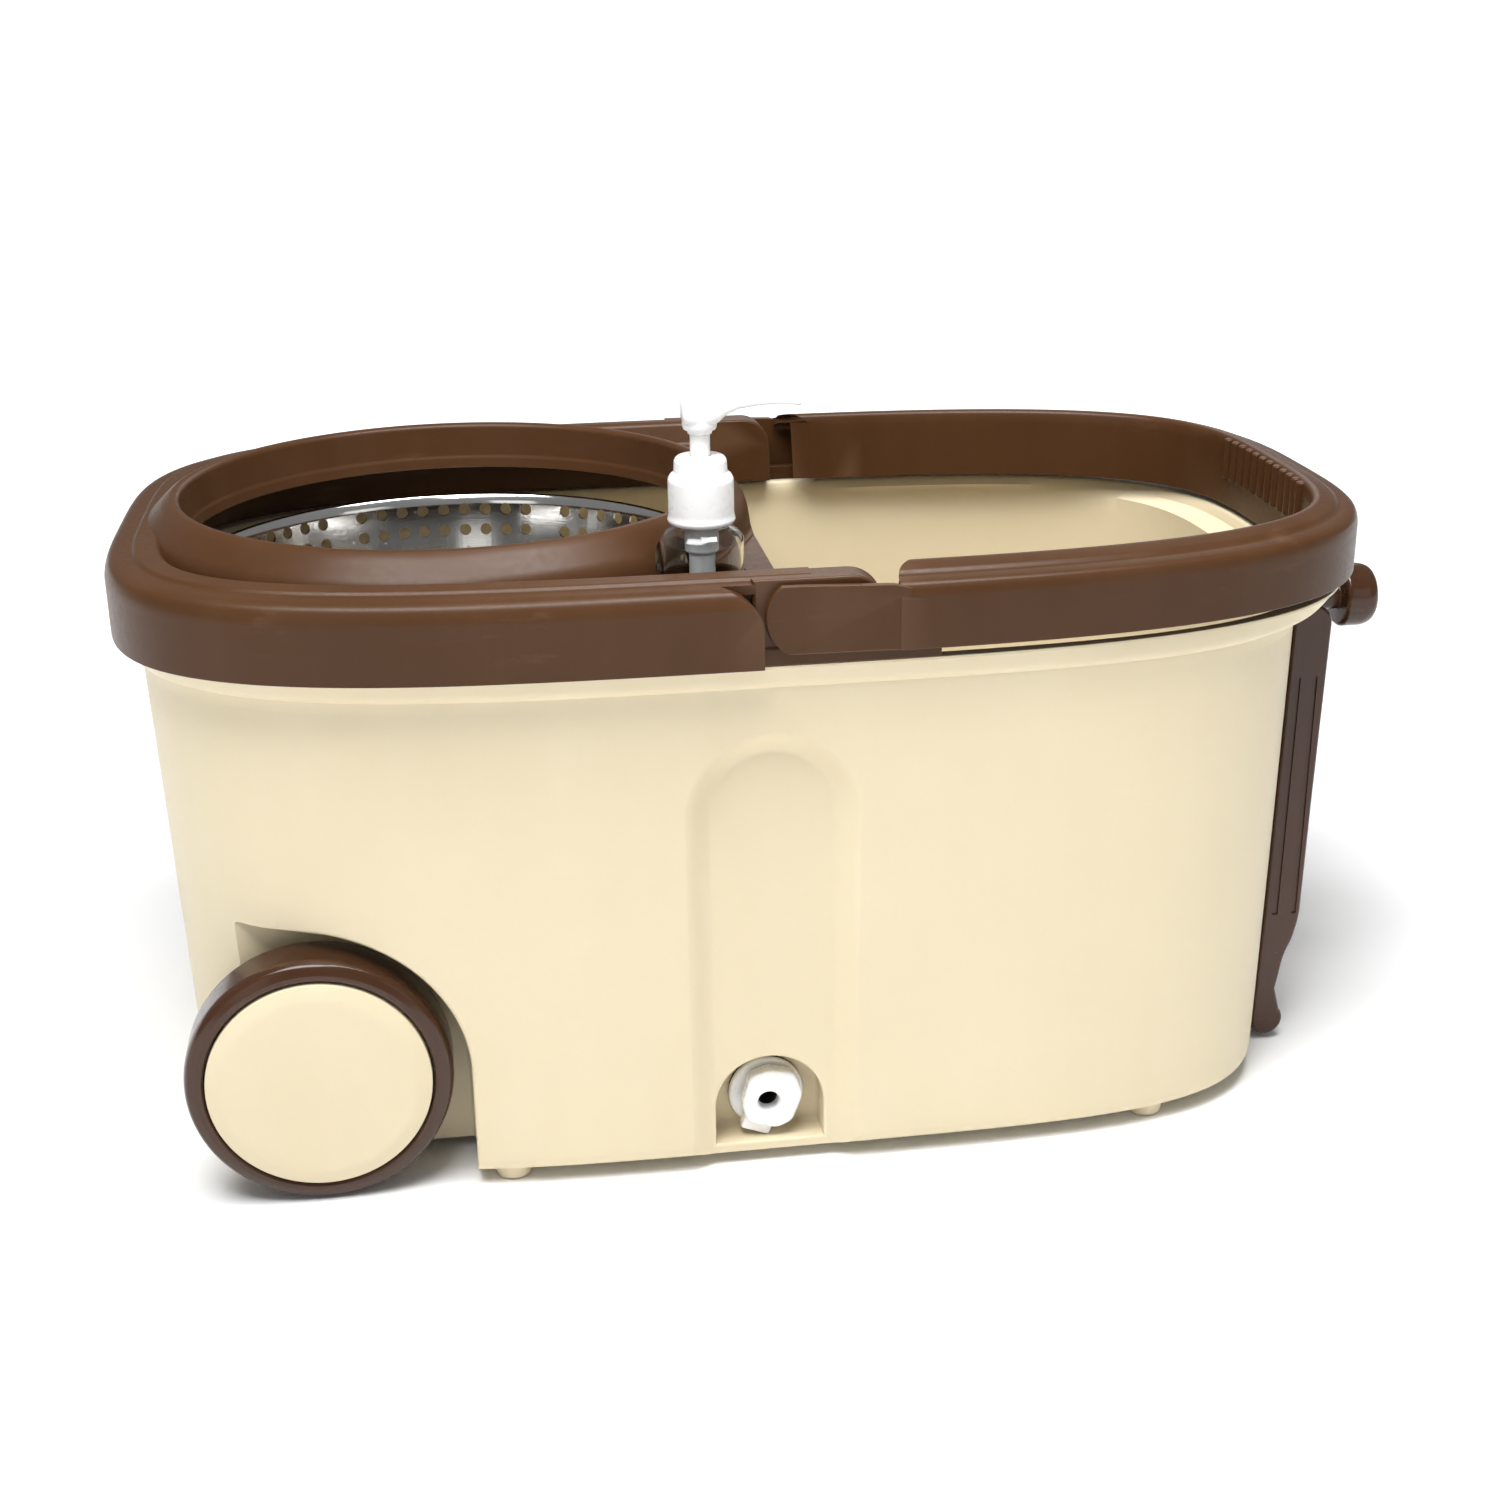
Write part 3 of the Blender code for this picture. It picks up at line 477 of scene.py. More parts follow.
def bowl_paint():
    """Polished stainless sheet with turning marks and water spots."""
    paint = Paint("bowl_steel")
    smear = paint.noise(16.0, 4.0)
    colour = paint.mix(paint.span(smear, 0.3, 0.7), (0.70, 0.69, 0.67), (0.80, 0.79, 0.77))
    spots = paint.math("MULTIPLY", paint.specks(120.0, 0.14), paint.span(smear, 0.5, 0.6))
    colour = paint.mix(paint.math("MULTIPLY", spots, 0.35), colour, (0.90, 0.89, 0.86))
    paint.set(Base_Color=colour, Metallic=1.0)
    turned = paint.noise(60.0, 3.0, stretch=(1.0, 1.0, 40.0))
    rough = paint.span(turned, 0.3, 0.7, 0.07, 0.15)
    paint.set(Roughness=paint.math("ADD", rough, paint.math("MULTIPLY", spots, 0.15)))
    paint.bump(turned, 0.000012, 0.5)
    paint.bump(paint.noise(22.0, 2.0), 0.0006, 0.12)
    return paint.mat


def rod_paint():
    paint = Paint("drawn_steel")
    tone = paint.noise(45.0, 4.0)
    colour = paint.mix(paint.span(tone, 0.3, 0.7), (0.48, 0.48, 0.49), (0.62, 0.62, 0.63))
    paint.set(Base_Color=colour, Metallic=1.0)
    lines = paint.noise(700.0, 2.0)
    paint.set(Roughness=paint.span(lines, 0.3, 0.7, 0.24, 0.36))
    paint.bump(lines, 0.00001, 0.4)
    return paint.mat


def clear_paint():
    """Clear bottle plastic with faint waves from blow moulding."""
    paint = Paint("clear_bottle")
    tint = paint.noise(30.0, 2.0)
    colour = paint.mix(paint.span(tint, 0.3, 0.7), (0.93, 0.96, 0.97), (0.98, 0.99, 0.99))
    paint.set(Base_Color=colour, IOR=1.45, Transmission_Weight=1.0)
    smudge = paint.noise(55.0, 4.0)
    paint.set(Roughness=paint.span(smudge, 0.45, 0.7, 0.015, 0.09))
    paint.bump(paint.noise(45.0, 2.0, stretch=(1.0, 1.0, 0.5)), 0.0003, 0.3)
    return paint.mat


CREAM = cream_paint()
BROWN = brown_paint()
GLOSSY = glossy_brown_paint()
WHITE = white_paint()
FROSTED = frosted_paint()
RUBBER_AND_HOLE_SHADE = rubber_and_hole_shade_paint()
BOWL = bowl_paint()
ROD = rod_paint()
CLEAR = clear_paint()


def even_normals(obj):
    """Keeps large flat faces flat in the shading, so that only the rounded edges blend."""
    even = obj.modifiers.new("even", "WEIGHTED_NORMAL")
    even.keep_sharp = True
    graph = bpy.context.evaluated_depsgraph_get()
    mesh = bpy.data.meshes.new_from_object(obj.evaluated_get(graph))
    obj.modifiers.clear()
    obj.data = mesh


def finished(obj, material, body, *nodes):
    """Gives a piece its material and body, and hides the CAD nodes that it stands for."""
    even_normals(obj)
    obj.data.materials.clear()
    obj.data.materials.append(material)
    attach(obj, body)
    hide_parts(*nodes)
    return obj


# ---------------------------------------------------------------- tub

def body_plan(z):
    """Outline of the tapered outer wall at a height."""
    share = clamp((z - BODY_LOW_Z) / (BODY_TOP_Z - BODY_LOW_Z))
    return mixed(BODY_BASE_PLAN, BODY_TOP_PLAN, share)


def body_half(x, z):
    """Half width of the outer wall at a place on the side of the tub."""
    mid, left, right, half, n_left, n_right = body_plan(z)
    reach = right if x > mid else left
    power = n_right if x > mid else n_left
    share = min(1.0, abs(x - mid) / reach)
    return half * (1.0 - share ** power) ** (1.0 / power)


def tub_outside():
    """Outer skin: rolled base, tapered wall and the flare up to the lip."""
    rings = []
    for k in range(7):
        a = math.radians(15 * k)
        rings.append((plan(BODY_BASE_PLAN, 0.0060 * (1 - math.sin(a))),
                      BASE_Z + 0.0065 * (1 - math.cos(a))))
    for k in range(1, 13):
        z = BODY_LOW_Z + (BODY_TOP_Z - BODY_LOW_Z) * k / 12
        rings.append((plan(body_plan(z)), z))
    flare = soften([(0.0, BODY_TOP_Z + 0.0002), (0.05, 0.2016, 0.004), (0.38, 0.2028, 0.2),
                    (0.62, 0.2040, 0.2), (0.93, 0.2094, 0.2), (1.0, 0.2098, 0.2),
                    (1.0, 0.2108, 0.2), (0.93, LEDGE_Z, 0.2), (0.6, LEDGE_Z)],
                   0.001, closed=False)
    for share, z in flare:
        rings.append((plan(mixed(BODY_TOP_PLAN, RIM_PLAN, share)), z))
    return loft("tub_shell", rings)


def tub_inside():
    """The hollow, with a step out to the wider mouth."""
    rings = []
    for k in range(7):
        a = math.radians(15 * k)
        rings.append((plan(BODY_BASE_PLAN, WALL + 0.0015 + 0.0090 * (1 - math.sin(a))),
                      FLOOR_Z + 0.0090 * (1 - math.cos(a))))
    for k in range(1, 13):
        z = FLOOR_Z + 0.009 + (BODY_TOP_Z - 0.002 - FLOOR_Z - 0.009) * k / 12
        inset = WALL + 0.0015 * (1 - k / 12)
        rings.append((plan(body_plan(z), inset), z))
    rings.append((plan(BODY_TOP_PLAN, WALL + 0.0002), 0.2030))
    rings.append((plan(MOUTH_PLAN, 0.0012), 0.2064))
    rings.append((plan(MOUTH_PLAN, 0.0004), LEDGE_Z - 0.0015))
    rings.append((plan(MOUTH_PLAN, -0.0004), LEDGE_Z - 0.0004))
    rings.append((plan(MOUTH_PLAN, -0.0020), LEDGE_Z + 0.0004))
    rings.append((plan(MOUTH_PLAN, -0.0020), LEDGE_Z + 0.0050))
    return loft("tub_hollow", rings)


def arch(x, half, top, low=-0.02):
    """Outline with a round top over straight sides that start at low."""
    def outline(grow):
        wide = half + grow
        foot = low - grow if low > 0 else low
        points = [(x - wide, foot)]
        points += list(reversed(arc(x, top - half, wide, 0, 180, 48)))
        points += [(x + wide, foot)]
        return points
    return outline


def well(grow):
    """Outline of a wheel well: round over the wheel, open at the end of the tub."""
    radius = WELL_R + grow
    top = WELL_TOP_Z + grow
    points = [(WHEEL_X - 0.09, -0.02), (WHEEL_X - 0.09, top)]
    points += [(WHEEL_X - 0.060, top), (WHEEL_X - 0.030, top), (WHEEL_X - 0.002, top)]
    points += list(reversed(arc(WHEEL_X, WHEEL_R, radius, 0, 84, 40)))
    points += [(WHEEL_X + radius, 0.03), (WHEEL_X + radius, -0.02)]
    return points


def pocket(name, side, outline, surface, floor_y, lead, root):
    """Cutter for a recess in a side wall: rolled edge at the surface, round foot at the floor."""
    rings = []

    def ring(grow, depth_of):
        points = []
        for x, z in outline(grow):
            points.append((x, side * depth_of(x, z), z))
        rings.append(points)

    ring(lead, lambda x, z: surface(x, z) + 0.006)
    for k in range(7):
        a = math.radians(15 * k)
        sink = lead * (1 - math.cos(a))
        ring(lead * (1 - math.sin(a)), lambda x, z, sink=sink: surface(x, z) - sink)
    for k in range(7):
        a = math.radians(15 * k)
        rise = root * (1 - math.sin(a))
        ring(-root * (1 - math.cos(a)), lambda x, z, rise=rise: floor_y + rise)
    return tube(name, rings)


def soft_pocket(name, side, outline, surface, floor_y, spread):
    """Cutter for a shallow recess whose side slopes softly in over the spread."""
    rings = [[(x, side * (surface(x, z) + 0.006), z) for x, z in outline(spread)]]
    for k in range(17):
        t = k / 16
        ease = t * t * (3.0 - 2.0 * t)
        ring = []
        for x, z in outline(spread * (1.0 - 2.0 * t)):
            top = surface(x, z)
            ring.append((x, side * (top + (floor_y - top) * ease), z))
        rings.append(ring)
    return tube(name, rings)


def side_skin(name, side, outline, grow, floor_y):
    """The wall behind a recess, left standing inside the hollow."""
    rings = [[(x, side * y, z) for x, z in outline(grow)] for y in (0.17, floor_y)]
    return tube(name, rings, smooth=0)


def near_surface(x, z):
    """The near wall around the channel, taken as straight along the tub."""
    return body_half(CHANNEL_X, max(z, BODY_LOW_Z))


def well_surface(x, z):
    """The outer wall around a wheel well, never deeper than the well's own back."""
    return max(body_half(x, max(z, BODY_LOW_Z)), WELL_WALL_Y + 0.004)


def foot(name, x, y):
    """Small round foot under the base."""
    profile = [(0, 0), (0.0070, 0, 0.0012), (0.0074, 0.0065), (0, 0.0065)]
    obj = lathe(name, soften(profile, 0, closed=False), 48, closed=False)
    return placed(obj, "z", x, y, 0)


def build_tub():
    channel = arch(CHANNEL_X, CHANNEL_HALF, CHANNEL_TOP_Z)
    recess = arch(DRAIN_X, RECESS_HALF, DRAIN_Z + RECESS_HALF, FLOOR_Z + 0.0010)
    recess_back = arch(DRAIN_X, RECESS_HALF, DRAIN_Z + RECESS_HALF)
    hollow = tub_inside()
    skins = [side_skin("channel_skin", -1, channel, WALL, CHANNEL_FLOOR_Y - WALL),
             side_skin("recess_skin", -1, recess_back, WALL, RECESS_FLOOR_Y - WALL)]
    for side in (-1, 1):
        skins.append(side_skin("well_skin", side, well, WALL, WELL_WALL_Y - WALL))
    cut(hollow, *skins)
    tub = tub_outside()
    tools = [soft_pocket("channel", -1, channel, near_surface, CHANNEL_FLOOR_Y, 0.0055),
             pocket("recess", -1, recess, lambda x, z: CHANNEL_FLOOR_Y, RECESS_FLOOR_Y,
                    0.0012, 0.0020), hollow,
             rod("drain_bore", "y", (DRAIN_X, -0.130, DRAIN_Z), 0.0108, 0.022)]
    for side in (-1, 1):
        tools.append(pocket("well", side, well, well_surface, WELL_WALL_Y, 0.0016, 0.0020))
    cut(tub, *tools)
    feet = [foot("foot_%d_%d" % (sx, sy), x, sy * y) for sx, x, y in
            ((0, -0.1265, 0.1225), (1, 0.1340, 0.1180)) for sy in (-1, 1)]
    bosses = []
    for side in (-1, 1):
        y0 = -BOSS_OUT_Y if side < 0 else BOSS_IN_Y
        bosses.append(rod("boss_%d" % side, "y", (WHEEL_X, y0, WHEEL_R), 0.0090,
                          BOSS_OUT_Y - BOSS_IN_Y, 0.0010))
    join(tub, *feet, *bosses)
    finished(tub, CREAM, "tub_body", "tub")


# ---------------------------------------------------------------- wheels

def build_wheel(side, label):
    width = WHEEL_WIDTH
    tyre = soften([
        (0.0041, 0.0, 0), (WHEEL_R - 0.0020, 0.0, 0.0015), (WHEEL_R, 0.0020, 0.0015),
        (WHEEL_R, width - 0.0045, 0.0040), (WHEEL_R - 0.0010, width - 0.0016, 0.0025),
        (WHEEL_R - 0.0050, width, 0.0025), (0.0439, width - 0.0003, 0.0008),
        (0.0431, width - 0.0014, 0.0006), (0.0431, width - 0.0110, 0),
        (0.0115, width - 0.0110, 0), (0.0110, width - 0.0080, 0), (0.0041, width - 0.0080, 0),
    ], 0, steps=6)
    cap = soften([
        (0, width - 0.0038), (0.0425, width - 0.0038, 0), (0.0425, width + 0.0003, 0.0005),
        (0.0418, width + 0.0006, 0.0004), (0.0372, width + 0.0020, 0.0016),
        (0.0200, width + 0.0022, 0.0100), (0, width + 0.0024),
    ], 0.001, closed=False, steps=5)
    axis = "y" if side > 0 else "-y"
    place = (WHEEL_X, side * WHEEL_BACK_Y, WHEEL_R)
    body = "wheel_" + label
    piece = placed(lathe(body + "_tyre_look", tyre, 192), axis, *place)
    finished(piece, GLOSSY, body, body + "_tyre")
    piece = placed(lathe(body + "_cap_look", cap, 192, closed=False), axis, *place)
    finished(piece, CREAM, body, body + "_cap")


# ---------------------------------------------------------------- spin cover

def cover_shell():
    """Skirt, rolled top edge and deck rim of the spin cover, as one lofted section."""
    section = soften([
        (0.0285, 0.2294, 0), (0.0240, 0.2294, 0.001), (0.0192, 0.2400, 0.001),
        (0.0118, 0.2396, 0), (0.0116, 0.2117, 0.0003), (0.0098, 0.2117, 0.0003),
        (0.0096, 0.2388, 0), (0.0060, 0.2376, 0.001), (0.0032, 0.2345, 0.001),
        (0.0028, SKIRT_LOW_Z, 0.0003), (0.0000, SKIRT_LOW_Z, 0.0008),
        (0.0000, 0.2352, 0.0042), (0.0020, 0.2398, 0.0030), (0.0052, 0.2412, 0.0020),
        (0.0108, 0.2418, 0.0008), (0.0120, 0.2432, 0.0008), (0.0190, 0.2438, 0.0016),
        (0.0212, 0.2425, 0.0012), (0.0250, 0.2334, 0.0016), (0.0285, DECK_Z, 0.0016),
        (0.0320, DECK_Z, 0),
    ], 0, closed=False)
    return loft("spin_cover_shell", [(plan(SKIRT_PLAN, inset), z) for inset, z in section])


def collar_ring():
    """Raised round collar over the basket."""
    section = soften([
        (0.1262, 0.2322, 0.001), (0.1236, 0.2336, 0.002), (0.1218, 0.2410, 0.004),
        (0.1130, 0.2496, 0.003), (0.1100, COLLAR_TOP_Z, 0.002), (0.1078, 0.2513, 0.0010),
        (0.1067, 0.2500, 0.0010), (0.1056, 0.2372, 0.0006), (0.1050, 0.2360, 0.0006),
        (0.1045, 0.2318, 0.0004), (0.1068, 0.2318, 0.0002), (0.1078, 0.2380, 0),
        (0.1095, 0.2470, 0), (0.1190, 0.2380, 0), (0.1200, 0.2300, 0), (0.1262, 0.2300, 0),
    ], 0, steps=5)
    return placed(lathe("collar", section, 216), "z", BASKET_X, 0, 0)


def tongue(side):
    """Hollow arm of the cover that runs along the rim inside the handle's end."""
    r = 0.0130
    x0 = DECK_EDGE_X - 0.016
    outline = [(x0, 0.2130), (TONGUE_END_X, 0.2130)]
    outline += arc(TONGUE_END_X - r, 0.2430 - r, r, 0, 90, 20)
    outline += [(x0, 0.2430)]
    depth = TONGUE_OUT_Y - TONGUE_IN_Y
    y = -TONGUE_IN_Y if side < 0 else TONGUE_OUT_Y
    return prism("tongue_%d" % side, outline, 0, depth, 0.0012, "-y", (0, y, 0))


def skirt_end(side):
    """Everything beyond the round end of the skirt on one long side."""
    x0 = SKIRT_END_X
    outline = [(x0, 0.18)]
    for i in range(25):
        a = math.radians(90 * i / 24)
        outline.append((x0 - 0.0230 * (1 - math.cos(a)), 0.2260 + 0.0165 * math.sin(a)))
    outline += [(x0 - 0.0230, 0.28), (0.30, 0.28), (0.30, 0.18)]
    y = -TONGUE_OUT_Y if side < 0 else 0.20
    return prism("skirt_end_%d" % side, outline, 0, 0.20 - TONGUE_OUT_Y, 0, "-y", (0, y, 0))


def build_cover():
    cover = cover_shell()
    cut(cover, rod("collar_room", "z", (BASKET_X, 0, 0.20), 0.1180, 0.07, segments=216))
    join(cover, collar_ring())
    tools = []
    for side in (-1, 1):
        tools.append(skirt_end(side))
    tools.append(box("basin_side", (DECK_EDGE_X, -TONGUE_IN_Y, 0.18),
                     (0.30, TONGUE_IN_Y, 0.28)))
    tools.append(box("beyond_tongues", (DECK_EDGE_X + 0.006, -0.20, 0.18),
                     (0.30, 0.20, 0.28)))
    cut(cover, *tools)
    strips = []
    for side in (-1, 1):
        low, high = sorted((side * 0.1385, side * 0.1430))
        strips.append(box("rim_strip_%d" % side, (SKIRT_END_X - 0.004, low, 0.2113),
                          (TONGUE_END_X + 0.020, high, 0.2175), 0.0006))
    join(cover, tongue(-1), tongue(1), *strips)
    rooms = []
    for side in (-1, 1):
        low = -TONGUE_OUT_Y + 0.003 if side < 0 else TONGUE_IN_Y + 0.003
        high = -TONGUE_IN_Y - 0.003 if side < 0 else TONGUE_OUT_Y - 0.003
        rooms.append(box("tongue_room_%d" % side, (DECK_EDGE_X - 0.008, low, 0.20),
                         (TONGUE_END_X - 0.003, high, 0.2395)))
        y0 = -0.150 if side < 0 else 0.135
        rooms.append(rod("pivot_bore_%d" % side, "y", (PIVOT_X, y0, PIVOT_Z), 0.0046, 0.015))
    cut(cover, *rooms)
    wall = [(0, BOTTLE_LOW_Z - 0.0025), (POCKET_R + 0.0022, BOTTLE_LOW_Z - 0.0025),
            (POCKET_R + 0.0022, DECK_Z + 0.0020), (0, DECK_Z + 0.0020)]
    wall = soften([wall[0], (*wall[1], 0.0010), (*wall[2], 0.0012), wall[3]], 0, closed=False)
    join(cover, placed(lathe("pocket_wall", wall, 96, closed=False), "z", BOTTLE_X, BOTTLE_Y,
                       0))
    room = soften([(0, BOTTLE_LOW_Z - 0.0003), (POCKET_R, BOTTLE_LOW_Z - 0.0003, 0.001),
                   (POCKET_R, DECK_Z + 0.0012, 0.0005), (POCKET_R + 0.0010, DECK_Z + 0.0022,
                   0.0003), (POCKET_R + 0.0010, 0.27), (0, 0.27)], 0, closed=False)
    cut(cover, placed(lathe("pocket_room", room, 96, closed=False), "z", BOTTLE_X, BOTTLE_Y,
                      0))
    finished(cover, BROWN, "tub_body", "spin_cover")


# ---------------------------------------------------------------- basket and spindle

def bowl_holes():
    """Two rows of round holes in groups, with a gap between groups."""
    bm = bmesh.new()
    groups = 7
    per_group = 9
    columns = groups * (per_group + 1)
    for z in (0.2118, 0.2026):
        for i in range(columns):
            if i % (per_group + 1) == per_group:
                continue
            turn = 2.0 * math.pi * (i + 3.8) / columns
            made = bmesh.ops.create_cone(bm, cap_ends=True, segments=24, radius1=0.0026,
                                         radius2=0.0026, depth=0.016)
            for v in made["verts"]:
                x, y, depth = v.co
                out = 0.1035 + depth
                v.co = (out * math.cos(turn) - x * math.sin(turn),
                        out * math.sin(turn) + x * math.cos(turn), z + y)
    return placed(add_mesh("bowl_holes", bm), "z", BASKET_X, 0, 0)


def build_basket():
    s = BOWL_SHEET
    z = BOWL_RIM_Z
    f = BOWL_FLOOR_Z
    section = soften([
        (0.0120, f, 0), (0.0880, f, 0.004), (0.0955, f + 0.0060, 0.005),
        (0.1068, z - 0.0030, 0.002), (0.1086, z, 0.0012), (BOWL_RIM_R, z, 0.0010),
        (BOWL_RIM_R, z - 0.0030, 0.0003), (BOWL_RIM_R - s, z - 0.0030, 0.0003),
        (BOWL_RIM_R - s, z - s, 0.0004), (0.1092, z - s, 0.0004),
        (0.1068 + s, z - 0.0036, 0.001), (0.0955 + s, f + 0.0056, 0.005),
        (0.0883, f - s, 0.004), (0.0120, f - s, 0),
    ], 0)
    bowl = placed(lathe("bowl_polished", section, 252), "z", BASKET_X, 0, 0)
    cut(bowl, bowl_holes())
    seam = box("bowl_seam", (-0.0002, -0.0006, 0.0), (0.0004, 0.0006, 0.0640))
    seam.data.transform(Matrix.Rotation(math.atan2(0.0105, 0.0675), 4, "Y"))
    seam.data.transform(Matrix.Translation((0.0960, 0, f + 0.0080)))
    seam.data.transform(Matrix.Rotation(2.0 * math.pi * 13.05 / 70, 4, "Z"))
    join(bowl, placed(seam, "z", BASKET_X, 0, 0))
    finished(bowl, BOWL, "spin_basket", "basket_bowl")

    hub = soften([
        (0.0072, f - 0.0095, 0), (0.0117, f - 0.0095, 0), (0.0117, f + 0.0003, 0),
        (0.0240, f + 0.0003, 0.0003), (0.0240, f + 0.0030, 0.0010), (0.0185, f + 0.0045, 0.003),
        (0.0165, f + 0.0140, 0.0012), (0.0145, f + 0.0155, 0.0012), (0.0100, f + 0.0155, 0.0006),
        (0.0100, f + 0.0110, 0), (0.0072, f + 0.0110, 0)], 0)
    hub_piece = placed(lathe("basket_hub_look", hub, 96), "z", BASKET_X, 0, 0)
    ribs = [box("hub_rib_%d" % i, (0.0150, -0.0006, f + 0.0020), (0.0225, 0.0006, f + 0.0075))
            for i in range(8)]
    for i, rib in enumerate(ribs):
        rib.data.transform(Matrix.Rotation(math.pi * i / 4, 4, "Z"))
        placed(rib, "z", BASKET_X, 0, 0)
    join(hub_piece, *ribs)
    finished(hub_piece, BROWN, "spin_basket", "basket_hub")

    disc = soften([(0.0120, f - 0.0095, 0), (0.0480, f - 0.0045, 0.002),
                   (0.0540, f - 0.0030, 0.0005), (0.0540, f - 0.0012, 0.0005),
                   (0.0120, f - 0.0012, 0)], 0)
    piece = placed(lathe("basket_disc_look", disc, 96), "z", BASKET_X, 0, 0)
    finished(piece, BROWN, "spin_basket", "basket_base_disc")
    z0 = FLOOR_Z + 0.0003
    post = soften([(0, z0), (0.0450, z0, 0.0005), (0.0450, z0 + 0.0030, 0.001),
                   (0.0220, z0 + 0.0080, 0.006), (0.0140, 0.1180, 0.002),
                   (0.0120, 0.1220, 0.0008), (0.0053, 0.1220, 0), (0.0053, 0.0995, 0),
                   (0, 0.0995)], 0, closed=False)
    piece = placed(lathe("spindle_post_look", post, 96, closed=False), "z", BASKET_X, 0, 0)
    finished(piece, BROWN, "tub_body", "spindle_post")


# ---------------------------------------------------------------- carry handle

BAIL_SECTION = [
    (0.0020, 0.2153, 0.0008), (0.0020, 0.2360, 0.0040), (0.0034, 0.2398, 0.0022),
    (0.0072, 0.2408, 0.0020), (0.0100, 0.2412, 0.0010), (0.0118, 0.2428, 0.0010),
    (0.0158, 0.2440, 0.0016), (0.0185, 0.2447, 0.0014), (0.0204, 0.2436, 0.0012),
    (0.0212, 0.2400, 0.0020), (0.0218, 0.2135, 0.0005), (0.0190, 0.2135, 0.0005),
    (0.0182, 0.2405, 0.0010), (0.0120, 0.2392, 0.0010), (0.0070, 0.2372, 0.0010),
    (0.0052, 0.2345, 0.0010), (0.0050, 0.2153, 0.0004),
]


def skirt_point(angle, inset):
    """Point of the skirt plan on its right half, moved inwards by inset."""
    mid, _, right, half, _, n_right = SKIRT_PLAN
    power = 2.0 / n_right

    def at(a):
        c = max(0.0, math.cos(a))
        s = math.sin(a)
        return (mid + right * c ** power, half * math.copysign(abs(s) ** power, s))

    x, y = at(angle)
    ax, ay = at(angle - 0.002)
    bx, by = at(angle + 0.002)
    size = math.hypot(bx - ax, by - ay)
    return x - inset * (by - ay) / size, y + inset * (bx - ax) / size


def bail_start(inset):
    """The end of the handle's channel is round in plan: the inner lip starts later."""
    reach = 0.0150
    back = min(reach, max(0.0, inset - 0.0060))
    return BAIL_START_X + reach - math.sqrt(reach * reach - back * back)


def bail_channel():
    section = soften(BAIL_SECTION, 0, steps=3)
    starts = []
    for inset, z in section:
        low, high = 1.2, math.pi / 2
        for _ in range(30):
            middle = (low + high) / 2
            if skirt_point(middle, inset)[0] > bail_start(inset):
                low = middle
            else:
                high = middle
        starts.append(low)
    rings = []
    count = 200
    for i in range(count + 1):
        t = 2.0 * i / count - 1.0
        ring = []
        for (inset, z), start in zip(section, starts):
            x, y = skirt_point(start * (0.55 * t + 0.45 * t ** 3), inset)
            ring.append((x, y, z))
        rings.append(ring)
    return tube("carry_handle_look", rings)


def bail_plate(side):
    """Flat round end of the handle, flush with the outer face of its channel."""
    outline = arc(PIVOT_X, PIVOT_Z, 0.0150, 127, 244, 40)
    end = BAIL_START_X + 0.004
    outline += [(end, 0.2155), (end, 0.2385), (BAIL_START_X - 0.002, 0.2402), (PIVOT_X, 0.2414)]
    y = -0.1432 if side < 0 else 0.1462
    return prism("bail_plate_%d" % side, outline, 0.0, 0.0030, 0.0006, "-y", (0, y, 0))


def finger_ribs():
    """Upright ribs on the inner face of the handle, where the fingers hold it."""
    made = []
    for i in range(12):
        y = (i - 5.5) * 0.0080
        share = abs(y) / (SKIRT_PLAN[3])
        angle = math.copysign(math.asin(share ** (SKIRT_PLAN[5] / 2.0)), y)
        x, y = skirt_point(angle, 0.0208)
        size = 0.0024
        profile = soften([(0, 0.2255), (size, 0.2255, 0.0015), (size, 0.2436, 0.0015),
                          (0, 0.2436)], 0, closed=False, steps=5)
        rib = lathe("finger_rib_%d" % i, profile, 24, closed=False)
        made.append(placed(rib, "z", x, y, 0))
    return made


def build_carry_handle():
    handle = bail_channel()
    join(handle, bail_plate(-1), bail_plate(1))
    join(handle, *finger_ribs())
    bores = [rod("bail_bore_%d" % side, "y", (PIVOT_X, -0.1455 if side < 0 else 0.1400,
                                             PIVOT_Z), 0.0046, 0.0055) for side in (-1, 1)]
    cut(handle, *bores)
    finished(handle, BROWN, "carry_handle", "carry_handle")


# ---------------------------------------------------------------- lotion pump bottle

